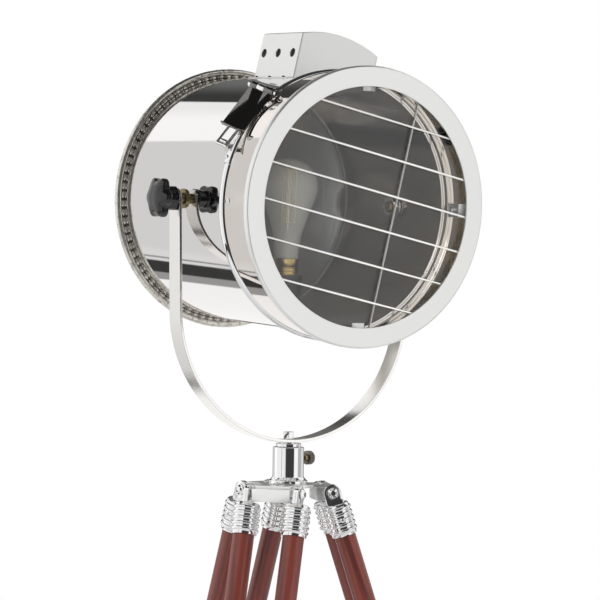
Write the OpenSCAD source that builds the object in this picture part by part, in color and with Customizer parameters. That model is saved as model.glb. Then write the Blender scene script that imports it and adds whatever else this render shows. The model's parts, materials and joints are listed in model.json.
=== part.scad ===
// Tripod spotlight floor lamp.
// A round metal spotlight head hangs in a U-shaped yoke. The yoke swivels in a socket post on a
// three-legged stand whose double wooden legs fold in and slide longer or shorter.
// Millimetres, +Z up. The lamp shines towards -Y and stands on the floor at z = 0.

/* [Head] */
// Height of the tilt axis above the floor
tilt_height = 1340; // [1250:5:1420]
// Outer radius of the flat front ring
ring_radius = 140; // [138:0.5:141]
// Radius of the opening in the front ring
ring_opening_radius = 119.5; // [115:0.5:121]
// Outer radius of the lamp drum
drum_radius = 129; // [128:0.5:130]
// Thickness of the spun sheet
sheet = 1.2; // [0.8:0.1:1.5]
// Front face of the ring, ahead of the tilt axis
front_reach = 142; // [138:1:145]
// Back edge of the rear rim, behind the tilt axis
rear_reach = 133; // [130:1:136]
// Angle at which the head looks down
head_pitch = 3.3; // [0:0.1:5]
// Angle by which the vent box and the guard are turned round the barrel
barrel_roll = 11.5; // [0:0.5:14]

/* [Guard and glass] */
// Number of cross wires in the guard
guard_wires = 6; // [4:1:6]
// Distance between neighbouring cross wires
wire_pitch = 36; // [34:1:38]
// Wire diameter
wire_diameter = 2.2; // [1.6:0.1:2.4]
// Sideways offset of the single upright wire
upright_offset = 34.5; // [0:0.5:60]
// Thickness of the front glass
glass_thickness = 3; // [2:0.5:3.5]

/* [Vent box] */
// Width of the vent box across the barrel
vent_width = 96; // [80:1:100]
// Length of the vent box along the barrel
vent_length = 77; // [60:1:80]
// Height of the arch top above the lamp axis
vent_top = 180; // [172:1:184]

/* [Yoke] */
// Outer radius of the yoke's half circle
yoke_radius = 137.5; // [136:0.5:140]
// Width of the flat bar
yoke_bar_width = 21.5; // [18:0.5:24]
// Thickness of the flat bar
yoke_bar = 3; // [3:0.25:4]
// Tilt axis to the underside of the yoke
yoke_drop = 247.5; // [245:0.5:250]
// Angle by which each arm leans outward
arm_spread = 1.3; // [0:0.1:2]

/* [Knobs and screws] */
// Radius over the lobes of a tilt knob
knob_radius = 21.5; // [18:0.5:23]
// Number of lobes on a tilt knob
knob_lobes = 6; // [5:1:8]
// Direction of the swivel thumbscrew, anticlockwise from +X
thumbscrew_angle = 13; // [0:1:25]

/* [Stand] */
// Direction of the first leg, anticlockwise from +X
leg_azimuth = -22; // [-30:1:-20]
// Angle between a leg and the upright
splay = 18; // [14:0.1:19]
// Diameter of the wooden poles
pole_diameter = 22; // [20:1:22]
// Distance between the two upper poles of a leg
pole_pitch = 54; // [52:1:58]
// Length of the upper poles below the leg hinge
upper_length = 660; // [600:10:700]
// Distance from the stand's axis to a leg hinge
hinge_reach = 41.5; // [41:0.5:44]

/* [Hidden] */
$fn = 96;
SIDES = [-1, 1];
LEGS = [0, 1, 2];

// ---- heights down the stand, below the tilt axis ----
yoke_base = tilt_height - yoke_drop;      // underside of the yoke
neck_drop = 1;                            // neck between yoke and collar
collar_drop = 4.5;                        // underside of the swivel collar
post_top_drop = 4.8;
post_foot_drop = 35.4;
post_cone = 4;                            // height of the cone at the post's foot
plate_top_drop = 42.8;
plate_thickness = 3;
hinge_drop = 50.5;
hinge_height = yoke_base - hinge_drop;
leg_length = hinge_height / cos(splay);
foot_reach = hinge_reach + leg_length * sin(splay);

// The stand's axis is set off so that the floor outline of the feet is centred on the origin.
function leg_dir(i) = leg_azimuth + 120 * i;
foot_x = [for (i = LEGS) foot_reach * cos(leg_dir(i))];
foot_y = [for (i = LEGS) foot_reach * sin(leg_dir(i))];
axis_x = -(max(foot_x) + min(foot_x)) / 2;
axis_y = -(max(foot_y) + min(foot_y)) / 2;

// ---- barrel stations, along the lamp axis from the tilt axis, + towards the front ----
seam_z = front_reach - 57;                // drum meets bezel
ring_plate = 2;
ring_back_z = front_reach - ring_plate;
ring_lip = 4;
guard_z = ring_back_z - wire_diameter / 2;
glass_front_z = guard_z - wire_diameter - 0.5;
glass_back_z = glass_front_z - glass_thickness;
skirt_radius = drum_radius + 6;
flange_radius = drum_radius + 5;
band_inner_radius = flange_radius + 0.3;
band_bead = 4.5;
band_major = band_inner_radius - 1.5;
band_radius = band_major + band_bead;
cover_z = 7 - rear_reach;                 // front face of the rear cover
bulb_z = -8;                              // the bulb stands this far behind the tilt axis
trunnion_r = 6;
running = 0.05;                           // radial clearance of a running fit

// ---- latch, in its own frame: x outward from the lamp axis, y round the barrel, z to the front
latch_angle = 141.1;
latch_tilt = 25;                          // the latch leans forward round the band
strap = 1.2;
latch_pin_x = 141.5;
latch_pin_y = -29;
latch_pin_r = 2;
knuckle_r = 4;
bail_pivot_x = 139.5;
bail_pivot_y = -14;
bail_wire_r = 1.5;
bail_end_y = 42.5;
bail_half = 6;
bail_z = -5;                              // middle of the bail and of the hook
hook_lip_r = 2.5;
hook_lip_x = 138.2;
hook_lip_y = 38.3;
lever_x = 142.9;
lever_sheet = 1.6;
lever_rear = -18.4;
lever_front = 10.8;
lever_end_y = 23.3;

// ---- frames ----
module stand() translate([axis_x, axis_y, 0]) children();
// Head frame turned so that local z points to the front, y up and x to the viewer's right
module head() stand() translate([0, 0, tilt_height]) rotate([head_pitch, 0, 0])
    rotate([90, 0, 0]) children();
// The same, turned round the barrel with the vent box and the guard
module barrel() head() rotate([0, 0, -barrel_roll]) children();
module band_frame() head() rotate([0, 0, latch_angle]) translate([0, 0, seam_z]) children();
// Latch frame, leaning forward round the middle of the band's bead
module latch_lean() translate([band_major, 0, 1]) rotate([0, -latch_tilt, 0])
    translate([-band_major, 0, -1]) children();
// Leg frame: origin on the leg hinge, z up the leg, x outward, y along the hinge
module leg(i) stand() rotate([0, 0, leg_dir(i)]) translate([hinge_reach, 0, hinge_height])
    rotate([0, -splay, 0]) children();
// Cross axis of the head, from the lamp axis towards one side
module trunnion(side) head() rotate([0, side * 90, 0]) children();

// ---- shared shapes ----
// Tube between two heights
module tube(r_out, r_in, z_low, z_high) {
    difference() {
        translate([0, 0, z_low]) cylinder(r = r_out, h = z_high - z_low);
        translate([0, 0, z_low - 1]) cylinder(r = r_in, h = z_high - z_low + 2);
    }
}

// Ring of round wire
module hoop(major, minor, z) {
    translate([0, 0, z]) rotate_extrude() translate([major, 0]) circle(minor, $fn = 48);
}

// Domed head: a slice of a sphere, flat face on z = 0
module dome(radius, height) {
    ball = (radius * radius + height * height) / (2 * height);
    intersection() {
        translate([0, 0, height - ball]) sphere(ball);
        cylinder(r = radius + 1, h = height + 1);
    }
}

// Row of round ribs round a sleeve
module ribs(count, pitch, major, minor, z_top) {
    for (k = [0 : count - 1]) hoop(major, minor, z_top - k * pitch);
}

// Round thumb nut with straight flutes, along z
module thumb_head(radius, height, flutes) {
    difference() {
        cylinder(r = radius, h = height);
        for (k = [0 : flutes - 1]) rotate([0, 0, k * 360 / flutes])
            translate([radius + 0.4, 0, -1]) cylinder(r = 0.9, h = height + 2, $fn = 24);
    }
}

// ---- lamp head: shell ----
module drum_shell() color("gainsboro") {
    vent_mouth = [vent_width - 40, 40, vent_length - 27];
    difference() {
        union() {
            tube(drum_radius, drum_radius - sheet, cover_z, seam_z);
            tube(flange_radius, drum_radius - sheet, seam_z - sheet, seam_z);
        }
        for (side = SIDES) rotate([0, side * 90, 0])
            translate([0, 0, drum_radius - 12]) cylinder(r = trunnion_r + running, h = 20);
        rotate([0, 0, -barrel_roll])
            translate([vent_centre - vent_mouth[0] / 2, drum_radius - 20, vent_z + 13])
            cube(vent_mouth);
        translate([0, 10 - drum_radius, bulb_z]) rotate([90, 0, 0])
            cylinder(r = holder_screw_r, h = 20);
    }
}

module rear_cover() color("silver") {
    hat_radius = 58;
    hat_depth = 9;
    difference() {
        union() {
            translate([0, 0, cover_z - sheet]) cylinder(r = drum_radius - 0.1, h = sheet);
            translate([0, 0, cover_z - sheet - hat_depth]) cylinder(r = hat_radius, h = hat_depth);
        }
        translate([0, 0, cover_z - hat_depth]) cylinder(r = hat_radius - sheet, h = hat_depth + 1);
        for (k = [0 : 23]) rotate([0, 0, 15 * k])
            if (k != 18) translate([88, 0, cover_z - 5]) cylinder(r = 3, h = 10);
        for (k = [0 : 11]) rotate([0, 0, 30 * k])
            translate([36, 0, cover_z - 20]) cylinder(r = 3, h = 30);
        translate([0, -gland_offset, cover_z - 5]) cylinder(r = gland_thread_r, h = 10);
    }
}

// Ornamental rim: an outer and an inner bead with a groove between them
module rear_rim() color("dimgray") {
    tube(drum_radius + 6.6, drum_radius, 1 - rear_reach, 6.6 - rear_reach);
    tube(drum_radius + 1, drum_radius - 6, 1 - rear_reach, cover_z - sheet);
    difference() {
        hoop(drum_radius + 6.2, 3.6, 4.5 - rear_reach);
        translate([0, 0, -rear_reach]) cylinder(r = drum_radius + 1, h = 9);
    }
    difference() {
        hoop(drum_radius + 2.3, 2.4, 5.4 - rear_reach);
        translate([0, 0, -rear_reach]) cylinder(r = drum_radius, h = 20);
    }
}

// Shallow spun dish that throws the light forward, with a hole for the lead
module back_reflector() color("lightgray") {
    dish_ball = 410;
    dish_back = cover_z + 7;
    dish_rim = drum_radius - sheet;
    intersection() {
        translate([0, 0, dish_back + dish_ball]) difference() {
            sphere(dish_ball, $fn = 180);
            sphere(dish_ball - 0.8, $fn = 180);
        }
        difference() {
            translate([0, 0, dish_back - 5]) cylinder(r = dish_rim - 0.8, h = 60);
            translate([0, -gland_offset, dish_back - 10]) cylinder(r = gland_thread_r, h = 80);
        }
    }
    tube(dish_rim, dish_rim - 1, dish_back + 17, dish_back + 24);
}

// Half-round band round the joint between drum and bezel, split under the latch
module clamp_band() color("whitesmoke") {
    difference() {
        union() {
            hoop(band_major, band_bead, seam_z + 1);
            tube(band_major, flange_radius - 3, seam_z - 3.4, seam_z - sheet - 0.1);
        }
        translate([0, 0, seam_z - sheet - 0.1]) cylinder(r = band_inner_radius, h = 10);
        translate([0, 0, seam_z - 10]) cylinder(r = drum_radius, h = 20);
        translate([0, 0, seam_z - 10]) cylinder(r = band_inner_radius - 1, h = 6.6);
        rotate([0, 0, latch_angle]) translate([120, -7, seam_z - 10]) cube([30, 14, 20]);
    }
}

// ---- lamp head: vent box ----
vent_z = 10 - vent_length;                // back of the vent box
vent_centre = 10;                         // middle of the box, to the side of its own radius
vent_ball = 132.5;                        // radius of the arch
vent_hole_r = 4.75;
vent_hole_height = 150;
vent_left = vent_centre - vent_width / 2;
rivet_stations = [12, 38, 65];
foot_width = 8;

module vent_solid(inset) {
    intersection() {
        translate([vent_left + inset, 60, vent_z + inset])
            cube([vent_width - 2 * inset, 130, vent_length - 2 * inset]);
        translate([vent_centre, vent_top - vent_ball, vent_z - 1])
            cylinder(r = vent_ball - inset, h = vent_length + 2, $fn = 180);
    }
}

// Arched box over the vent mouth, with three holes in each side and a riveted foot
module vent_box() color("lightgray") {
    difference() {
        union() {
            vent_solid(0);
            intersection() {
                tube(drum_radius + 1, drum_radius, vent_z, vent_z + vent_length);
                translate([vent_left - foot_width, 60, vent_z])
                    cube([vent_width + 2 * foot_width, 80, vent_length]);
            }
        }
        vent_solid(sheet);
        translate([0, 0, vent_z - 1]) cylinder(r = drum_radius, h = vent_length + 2);
        for (k = [0 : 2]) translate([vent_left - 5, vent_hole_height, vent_z + 9.3 + 28.2 * k])
            rotate([0, 90, 0]) cylinder(r = vent_hole_r, h = vent_width + 10);
    }
}

// Dome-headed rivets along both feet of the vent box
module vent_rivets() {
    left_angle = acos((vent_left - foot_width / 2) / drum_radius);
    right_angle = acos((vent_left + vent_width + foot_width / 2) / drum_radius);
    for (angle = [left_angle, right_angle]) for (station = rivet_stations)
        rotate([0, 0, angle]) translate([drum_radius + 1, 0, vent_z + station])
            rotate([0, 90, 0]) dome(2.6, 1.6);
}

// ---- lamp head: lamp and its holder ----
stand_low = sheet - drum_radius;
holder_screw_r = 2.5;
holder_low = -104;
holder_high = -75;
cap_low = -84;
cap_high = -58;
bulb_low = cap_high;
bulb_ball = 30;
bulb_ball_height = 16;
stem_height = 30;

// Upright axis of the bulb, z up
module bulb_axis() head() translate([0, 0, bulb_z]) rotate([-90, 0, 0]) children();

// Pillar on a curved foot, screwed to the bottom of the drum
module holder_stand() color("darkgray") bulb_axis() {
    difference() {
        union() {
            intersection() {
                translate([0, 0, stand_low]) cylinder(r = 20, h = 14);
                rotate([90, 0, 0]) translate([0, 0, -40]) cylinder(r = -stand_low, h = 80);
                translate([-30, -30, -140]) cube([60, 60, 20]);
            }
            translate([0, 0, -122]) cylinder(r = 8, h = holder_low + 122);
        }
        translate([0, 0, -140]) cylinder(r = holder_screw_r, h = 28);
    }
}

module lampholder() color("#2b2623") bulb_axis() {
    difference() {
        union() {
            translate([0, 0, holder_low]) cylinder(r1 = 13, r2 = 17, h = 9);
            translate([0, 0, holder_low + 9]) cylinder(r = 17, h = holder_high - holder_low - 9);
            hoop(17, 1.2, holder_high - 2);
        }
        translate([0, 0, cap_low - 2]) cylinder(r = 13.4, h = 40);
        // Wiring space with its side entry for the lead
        translate([0, 0, holder_low + 2]) cylinder(r = 8, h = 9);
        translate([0, 0, holder_low + 6]) rotate([-90, 0, 0]) cylinder(r = 3.6, h = 30);
    }
}

module bulb_cap() color("gold") bulb_axis() {
    translate([0, 0, cap_low + 4]) cylinder(r = 12.4, h = cap_high - cap_low - 4);
    for (k = [0 : 3]) hoop(12.4, 0.8, cap_low + 6 + 3.6 * k);
    translate([0, 0, cap_low + 0.5]) cylinder(r1 = 5, r2 = 11, h = 3.5);
    translate([0, 0, cap_low - 2]) cylinder(r = 4, h = 3);
}

// Pear shape: a ball on a tapered neck
module bulb_solid(inset) {
    translate([0, 0, bulb_ball_height]) sphere(bulb_ball - inset);
    translate([0, 0, bulb_low]) cylinder(r1 = 13 - inset, r2 = 27.6 - inset, h = 62);
}

module bulb_glass() color("white", 0.3) bulb_axis() {
    difference() {
        bulb_solid(0);
        bulb_solid(0.9);
    }
    translate([0, 0, bulb_low]) cylinder(r = 12.9, h = 1);
    translate([0, 0, bulb_low + 0.9]) cylinder(r1 = 7, r2 = 2.5, h = stem_height);
}

module bulb_filament() color("orange") bulb_axis() {
    for (k = [0 : 3]) rotate([0, 0, 45 + 90 * k])
        translate([7, 0, -20]) cylinder(r = 0.8, h = 54);
    for (z = [-21, 33]) translate([0, 0, z]) tube(8, 6, 0, 1);
    translate([0, 0, bulb_low + 0.9 + stem_height]) cylinder(r = 1, h = 60.9);
    for (z = [-20.6, 33.4]) for (a = [0, 90]) rotate([0, 0, a])
        translate([-7, -0.4, z - 0.4]) cube([14, 0.8, 0.8]);
}

// Threaded gland through the rear cover, with the lead's bore right through it
gland_offset = 88;
gland_thread_r = 6;
gland_bore_r = 3.6;

module cord_gland() color("#1c1c1c") translate([0, -gland_offset, 0]) {
    difference() {
        union() {
            translate([0, 0, cover_z]) cylinder(r = 9.5, h = 5, $fn = 6);
            translate([0, 0, cover_z - sheet]) cylinder(r = gland_thread_r, h = sheet);
            translate([0, 0, cover_z - sheet - 6]) cylinder(r = 9.5, h = 6, $fn = 6);
            translate([0, 0, cover_z - sheet - 15]) cylinder(r1 = 6, r2 = 8.5, h = 9);
        }
        translate([0, 0, cover_z - 30]) cylinder(r = gland_bore_r, h = 50);
    }
}

// ---- lamp head: trunnions ----
// Threaded studs that carry the head in the yoke
module trunnion_studs() color("darkgoldenrod") for (side = SIDES) trunnion(side) {
    stud_start = drum_radius - 12;
    translate([0, 0, stud_start]) cylinder(r = trunnion_r, h = arm_out + 18 - stud_start);
    difference() {
        translate([0, 0, drum_radius - 3]) cylinder(r = 10, h = 5);
        rotate([0, 90, 0]) translate([0, 0, -20]) cylinder(r = drum_radius, h = 40);
    }
}

module trunnion_nuts() color("silver") for (side = SIDES) trunnion(side) {
    difference() {
        union() {
            translate([0, 0, drum_radius - 9.5]) cylinder(r = 10.5, h = 6, $fn = 6);
            translate([0, 0, drum_radius - 3.5]) cylinder(r = 12, h = 1.5);
        }
        translate([0, 0, drum_radius - 20]) cylinder(r = trunnion_r, h = 30);
    }
}

// Lobed knob on the end of a stud, domed on its outer face
module tilt_knob(side) color("#151515") trunnion(side) {
    hub_length = 12;
    star_height = 14;
    knob_start = arm_out + 0.6;
    dome_ball = 36;
    difference() {
        union() {
            translate([0, 0, knob_start]) cylinder(r = 13, h = hub_length);
            intersection() {
                translate([0, 0, knob_start + hub_length - 0.5])
                    cylinder(r = knob_radius, h = star_height + 0.5);
                translate([0, 0, knob_start + hub_length + star_height - dome_ball])
                    sphere(dome_ball);
            }
        }
        for (k = [0 : knob_lobes - 1]) rotate([0, 0, (k + 0.5) * 360 / knob_lobes])
            translate([knob_radius + 4.5, 0, knob_start + hub_length - 2]) cylinder(r = 8.5, h = 40);
        translate([0, 0, knob_start - 1]) cylinder(r = trunnion_r + running, h = 22);
    }
}

// ---- latch ----
// Strap bent over the band's bead between two places round the barrel
module band_strap(y_low, y_high) {
    intersection() {
        difference() {
            hoop(band_major, band_bead + strap, 1);
            hoop(band_major, band_bead, 1);
            translate([0, 0, -20]) cylinder(r = flange_radius + 0.5, h = 40);
        }
        translate([100, y_low, -20]) cube([60, y_high - y_low, 40]);
    }
}

// Space that the band and the parts under it take
module band_space() {
    hoop(band_major, band_bead, 1);
    translate([0, 0, -20]) cylinder(r = flange_radius + 0.5, h = 40);
}

// Rivet through a strap, turned round the barrel from the latch's middle
module strap_rivet(turn) rotate([0, 0, turn]) translate([band_major + band_bead + 0.6, 0, 1])
    rotate([0, 90, 0]) dome(2.4, 2);

// Saddle on the band with the middle knuckle and its riveted pin
module latch_bracket() color("silver") band_frame() {
    band_strap(latch_pin_y - 11, latch_pin_y + 8);
    strap_rivet(-15);
    difference() {
        latch_lean() {
            translate([126, latch_pin_y - 3, bail_z - 3]) cube([latch_pin_x - 126, 6, 8]);
            translate([latch_pin_x, latch_pin_y, bail_z - 4.5]) cylinder(r = knuckle_r, h = 9);
        }
        band_space();
        latch_lean() translate([latch_pin_x, latch_pin_y, -40])
            cylinder(r = latch_pin_r, h = 80);
    }
    latch_lean() {
        translate([latch_pin_x, latch_pin_y, lever_rear - 2])
            cylinder(r = latch_pin_r, h = lever_front - lever_rear + 4);
        for (z = [lever_rear - 3.5, lever_front + 0.5]) translate([latch_pin_x, latch_pin_y, z])
            cylinder(r = 3, h = 3);
    }
}

// Claw that the bail pulls on, with a rolled lip
module latch_hook() color("silver") band_frame() {
    band_strap(30, 54);
    strap_rivet(20.5);
    difference() {
        latch_lean() {
            translate([118, hook_lip_y - hook_lip_r, bail_z - 4])
                cube([hook_lip_x - 118, 2 * hook_lip_r, 8]);
            translate([hook_lip_x, hook_lip_y, bail_z - 4]) cylinder(r = hook_lip_r, h = 8);
        }
        band_space();
    }
}

// Rivets of the vent box, and the screw under the lampholder
module head_fasteners() color("whitesmoke") {
    barrel() vent_rivets();
    bulb_axis() translate([0, 0, -drum_radius]) {
        rotate([180, 0, 0]) dome(5, 2.6);
        cylinder(r = holder_screw_r, h = 15);
    }
}

// Plate with two knuckles, a turned-up finger lip and two lugs for the bail
module latch_lever() color("#5a5652") band_frame() latch_lean() {
    lug = 1.6;
    knuckle_gap = 5;
    difference() {
        union() {
            translate([lever_x - lever_sheet, latch_pin_y + 4, lever_rear])
                cube([lever_sheet, lever_end_y - latch_pin_y - 4, lever_front - lever_rear]);
            translate([lever_x - lever_sheet, lever_end_y - lever_sheet, lever_rear])
                cube([4.6, lever_sheet, lever_front - lever_rear]);
            for (span = [[lever_rear, bail_z - knuckle_gap], [bail_z + knuckle_gap, lever_front]]) {
                translate([latch_pin_x, latch_pin_y, span[0]])
                    cylinder(r = knuckle_r, h = span[1] - span[0]);
                translate([lever_x - lever_sheet, latch_pin_y, span[0]])
                    cube([lever_sheet, 6, span[1] - span[0]]);
            }
            for (side = SIDES) translate([bail_pivot_x - 2.1, bail_pivot_y - 3,
                bail_z + side * (bail_half + 2.3) - lug / 2])
                cube([lever_x - bail_pivot_x + 1, 6, lug]);
        }
        translate([latch_pin_x, latch_pin_y, -40])
            cylinder(r = latch_pin_r + running, h = 80);
        translate([bail_pivot_x, bail_pivot_y, -40])
            cylinder(r = bail_wire_r + running, h = 80);
    }
}

// Wire bail: pivots in the lever's lugs and reaches over the hook
module latch_bail() color("whitesmoke") band_frame() latch_lean() {
    reach = bail_end_y - bail_pivot_y;
    translate([bail_pivot_x, bail_pivot_y, bail_z - bail_half - 3.5])
        cylinder(r = bail_wire_r, h = 2 * bail_half + 7, $fn = 48);
    for (side = SIDES) translate([bail_pivot_x, bail_pivot_y, bail_z + side * bail_half])
        rotate([-90, 0, 0]) cylinder(r = bail_wire_r, h = reach, $fn = 48);
    for (side = SIDES) translate([bail_pivot_x, bail_end_y, bail_z + side * bail_half])
        sphere(bail_wire_r, $fn = 48);
    translate([bail_pivot_x, bail_end_y, bail_z - bail_half])
        cylinder(r = bail_wire_r, h = 2 * bail_half, $fn = 48);
}

// ---- bezel: skirt, ring, guard and glass ----
screw_z = seam_z + 12.5;                  // ring of screws round the skirt
clip_width = 14;

module bezel_skirt() color("gainsboro") {
    neck = drum_radius + 2;
    difference() {
        union() {
            tube(skirt_radius, skirt_radius - sheet, seam_z + 6.8, ring_back_z);
            tube(skirt_radius, neck - sheet, seam_z + 6.8, seam_z + 8);
            tube(neck, neck - sheet, seam_z + 0.2, seam_z + 8);
            tube(flange_radius, neck - sheet, seam_z + 0.2, seam_z + 0.2 + sheet);
        }
        for (k = [0 : 3]) rotate([0, 0, 90 * k]) rotate([0, 90, 0]) translate([-screw_z, 0, 120])
            cylinder(r = 1.6, h = 30);
    }
}

// Flat satin ring with a turned-back, bevelled outer edge
module front_ring() color("whitesmoke") {
    bevel = 1.4;
    tube(ring_radius, skirt_radius + 0.8, ring_back_z - ring_lip, ring_back_z);
    difference() {
        union() {
            translate([0, 0, ring_back_z]) cylinder(r = ring_radius, h = ring_plate - bevel);
            translate([0, 0, front_reach - bevel])
                cylinder(r1 = ring_radius, r2 = ring_radius - bevel, h = bevel);
        }
        translate([0, 0, ring_back_z - 1]) cylinder(r = ring_opening_radius, h = ring_plate + 2);
    }
}

// Straight cross wires welded to one upright wire and a hoop
module wire_guard() color("white") {
    wire_r = wire_diameter / 2;
    hoop_r = wire_r + 0.4;
    hoop_major = ring_opening_radius + 4;
    hoop(hoop_major, hoop_r, ring_back_z - hoop_r);
    for (k = [0 : guard_wires - 1]) {
        offset_y = (k - (guard_wires - 1) / 2) * wire_pitch;
        half = sqrt(hoop_major * hoop_major - offset_y * offset_y);
        translate([-half, offset_y, guard_z]) rotate([0, 90, 0])
            cylinder(r = wire_r, h = 2 * half, $fn = 32);
    }
    upright_half = sqrt(hoop_major * hoop_major - upright_offset * upright_offset);
    translate([upright_offset, -upright_half, guard_z - wire_r - 0.5]) rotate([-90, 0, 0])
        cylinder(r = wire_r, h = 2 * upright_half, $fn = 32);
}

module front_glass() color("lightcyan", 0.35) {
    translate([0, 0, glass_back_z]) cylinder(r = ring_opening_radius + 7.5, h = glass_thickness);
}

// Bent spring strips screwed inside the skirt; their feet press the glass forward
module glass_clips() color("silver") {
    wall = skirt_radius - sheet;
    for (k = [0 : 3]) rotate([0, 0, 90 * k]) {
        difference() {
            intersection() {
                tube(wall, wall - 1, seam_z + 8.5, glass_back_z);
                translate([0, -clip_width / 2, 0]) cube([200, clip_width, 200]);
            }
            rotate([0, 90, 0]) translate([-screw_z, 0, 120]) cylinder(r = 1.6, h = 30);
        }
        translate([115, -clip_width / 2, glass_back_z - 1]) cube([wall - 115.6, clip_width, 1]);
    }
}

// Round-headed screws through the skirt into the glass clips
module bezel_screws() color("whitesmoke") {
    for (k = [0 : 3]) rotate([0, 0, 90 * k]) rotate([0, 90, 0])
        translate([-screw_z, 0, skirt_radius]) {
            dome(3.4, 2);
            translate([0, 0, -5]) cylinder(r = 1.6, h = 5.2);
        }
}

// ---- yoke and swivel ----
arc_drop = yoke_drop - yoke_radius;       // tilt axis to the middle of the half circle
arm_inner = yoke_radius - yoke_bar;
// Length of an arm from the half circle up to the tilt axis
arm_length = (arc_drop + (arm_inner + yoke_bar / 2) * sin(arm_spread)) / cos(arm_spread);
// Outer face of an arm, measured at the tilt axis
arm_out = yoke_radius * cos(arm_spread) + arm_length * sin(arm_spread);
bend_hollow = 0.15;                       // hollow of the bent bar under the flat nut
nut_height = 7.6;
spigot_stud_r = 3.5;
shank_r = 10;
shank_drop = 36;
post_r = 16.1;
post_foot_r = 20.2;
post_screw_drop = 17;
groove_width = 6;

// Frame of one arm: origin in the middle of the half circle, z up the arm
module arm(side) translate([0, 0, -arc_drop]) rotate([0, side * arm_spread, 0]) children();

// Flat bar bent to a half circle with two straight arms and rounded ends
module yoke() color("lightgray") stand() translate([0, 0, tilt_height]) {
    half = yoke_bar_width / 2;
    hair = 0.02;
    arm_bar = yoke_bar - 2 * hair;
    difference() {
        union() {
            difference() {
                translate([0, half, -arc_drop]) rotate([90, 0, 0])
                    cylinder(r = yoke_radius, h = yoke_bar_width, $fn = 180);
                translate([0, half + 1, -arc_drop]) rotate([90, 0, 0])
                    cylinder(r = arm_inner, h = yoke_bar_width + 2, $fn = 180);
                for (side = SIDES) arm(side) translate([side * 90 - 110, -50, 0])
                    cube([220, 100, 300]);
            }
            // An arm is a hair smaller than the bend and starts inside it
            for (side = SIDES) arm(side) {
                translate([side * (arm_inner + yoke_bar / 2) - arm_bar / 2, hair - half, -1])
                    cube([arm_bar, yoke_bar_width - 2 * hair, arm_length + 1]);
                translate([side * (arm_inner + yoke_bar / 2) - arm_bar / 2, 0, arm_length])
                    rotate([0, 90, 0]) cylinder(r = half - hair, h = arm_bar);
            }
        }
        for (side = SIDES) rotate([0, side * 90, 0])
            translate([0, 0, 100]) cylinder(r = trunnion_r + running, h = 60);
        translate([0, 0, -yoke_drop - 5]) cylinder(r = spigot_stud_r, h = 20);
    }
}

module yoke_nut() color("silver") stand()
    translate([0, 0, yoke_base + yoke_bar + bend_hollow]) {
    difference() {
        cylinder(r = 5.9, h = nut_height, $fn = 6);
        translate([0, 0, -1]) cylinder(r = spigot_stud_r, h = nut_height + 2);
    }
}

// Turned spigot: stud through the yoke, collar, and a shank that turns in the socket post
module swivel_spigot() color("silver") stand() translate([0, 0, yoke_base]) {
    cylinder(r = spigot_stud_r, h = yoke_bar + bend_hollow + nut_height);
    translate([0, 0, -neck_drop]) cylinder(r = 9, h = neck_drop);
    translate([0, 0, -collar_drop]) cylinder(r = 13, h = collar_drop - neck_drop);
    difference() {
        translate([0, 0, -shank_drop]) cylinder(r = shank_r, h = shank_drop - collar_drop);
        translate([0, 0, -post_screw_drop - groove_width / 2])
            tube(shank_r + 2, shank_r - 0.8, 0, groove_width);
    }
}

module socket_post() color("gainsboro") stand() translate([0, 0, yoke_base]) {
    cone_drop = post_foot_drop + post_cone;
    difference() {
        union() {
            translate([0, 0, -post_foot_drop])
                cylinder(r = post_r, h = post_foot_drop - post_top_drop);
            translate([0, 0, -cone_drop]) cylinder(r1 = post_foot_r, r2 = post_r, h = post_cone);
            translate([0, 0, -plate_top_drop])
                cylinder(r = post_foot_r, h = plate_top_drop - cone_drop);
        }
        translate([0, 0, -shank_drop - 2.5]) cylinder(r = shank_r + running, h = 50);
        rotate([0, 0, thumbscrew_angle]) translate([5, 0, -post_screw_drop]) rotate([0, 90, 0])
            cylinder(r = 2 + running, h = 20);
    }
}

module pan_thumbscrew() color("silver") stand() translate([0, 0, yoke_base - post_screw_drop])
    rotate([0, 0, thumbscrew_angle]) rotate([0, 90, 0]) {
    translate([0, 0, 10.4]) cylinder(r = 2, h = 20);
    translate([0, 0, 22]) cylinder(r = 4, h = 4);
    translate([0, 0, 26]) thumb_head(7.2, 6.5, 28);
    translate([0, 0, 32.5]) dome(5.5, 1);
}

// ---- stand head ----
block_reach_in = 15;
block_reach_out = 9;
block_half = 20.5;
block_drop = 8.5;                         // block below the hinge axis
hinge_bolt_r = 3.5;
tab_half = 3;
tab_radius = 9;
hub_screw_reach = 31.5;

module hub_plate() color("whitesmoke") stand()
    translate([0, 0, yoke_base - plate_top_drop - plate_thickness]) {
    difference() {
        union() {
            cylinder(r = 30, h = plate_thickness);
            for (i = LEGS) rotate([0, 0, leg_dir(i)]) translate([12, -19, 0])
                cube([hinge_reach - 9, 38, plate_thickness]);
        }
        for (i = LEGS) rotate([0, 0, leg_dir(i)]) translate([hub_screw_reach, 0, -1])
            cylinder(r = 2.5, h = 10);
        translate([0, 0, -1]) cylinder(r = 4, h = 10);
    }
}

// Blocks under the plate that carry the leg hinges
module hinge_blocks() color("whitesmoke") for (i = LEGS)
    stand() rotate([0, 0, leg_dir(i)]) translate([hinge_reach, 0, hinge_height]) {
    block_top = hinge_drop - plate_top_drop - plate_thickness;
    difference() {
        union() {
            translate([-block_reach_in, -block_half, -block_drop])
                cube([block_reach_in + block_reach_out, 2 * block_half, block_drop + block_top]);
            for (side = SIDES) rotate([side * 90, 0, 0]) translate([0, 0, block_half - 0.5])
                cylinder(r = 5.6, h = 3.6);
        }
        translate([0, 40, 0]) rotate([90, 0, 0]) cylinder(r = hinge_bolt_r, h = 80);
        translate([hub_screw_reach - hinge_reach, 0, -2]) cylinder(r = 2.5, h = 20);
    }
}

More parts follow.
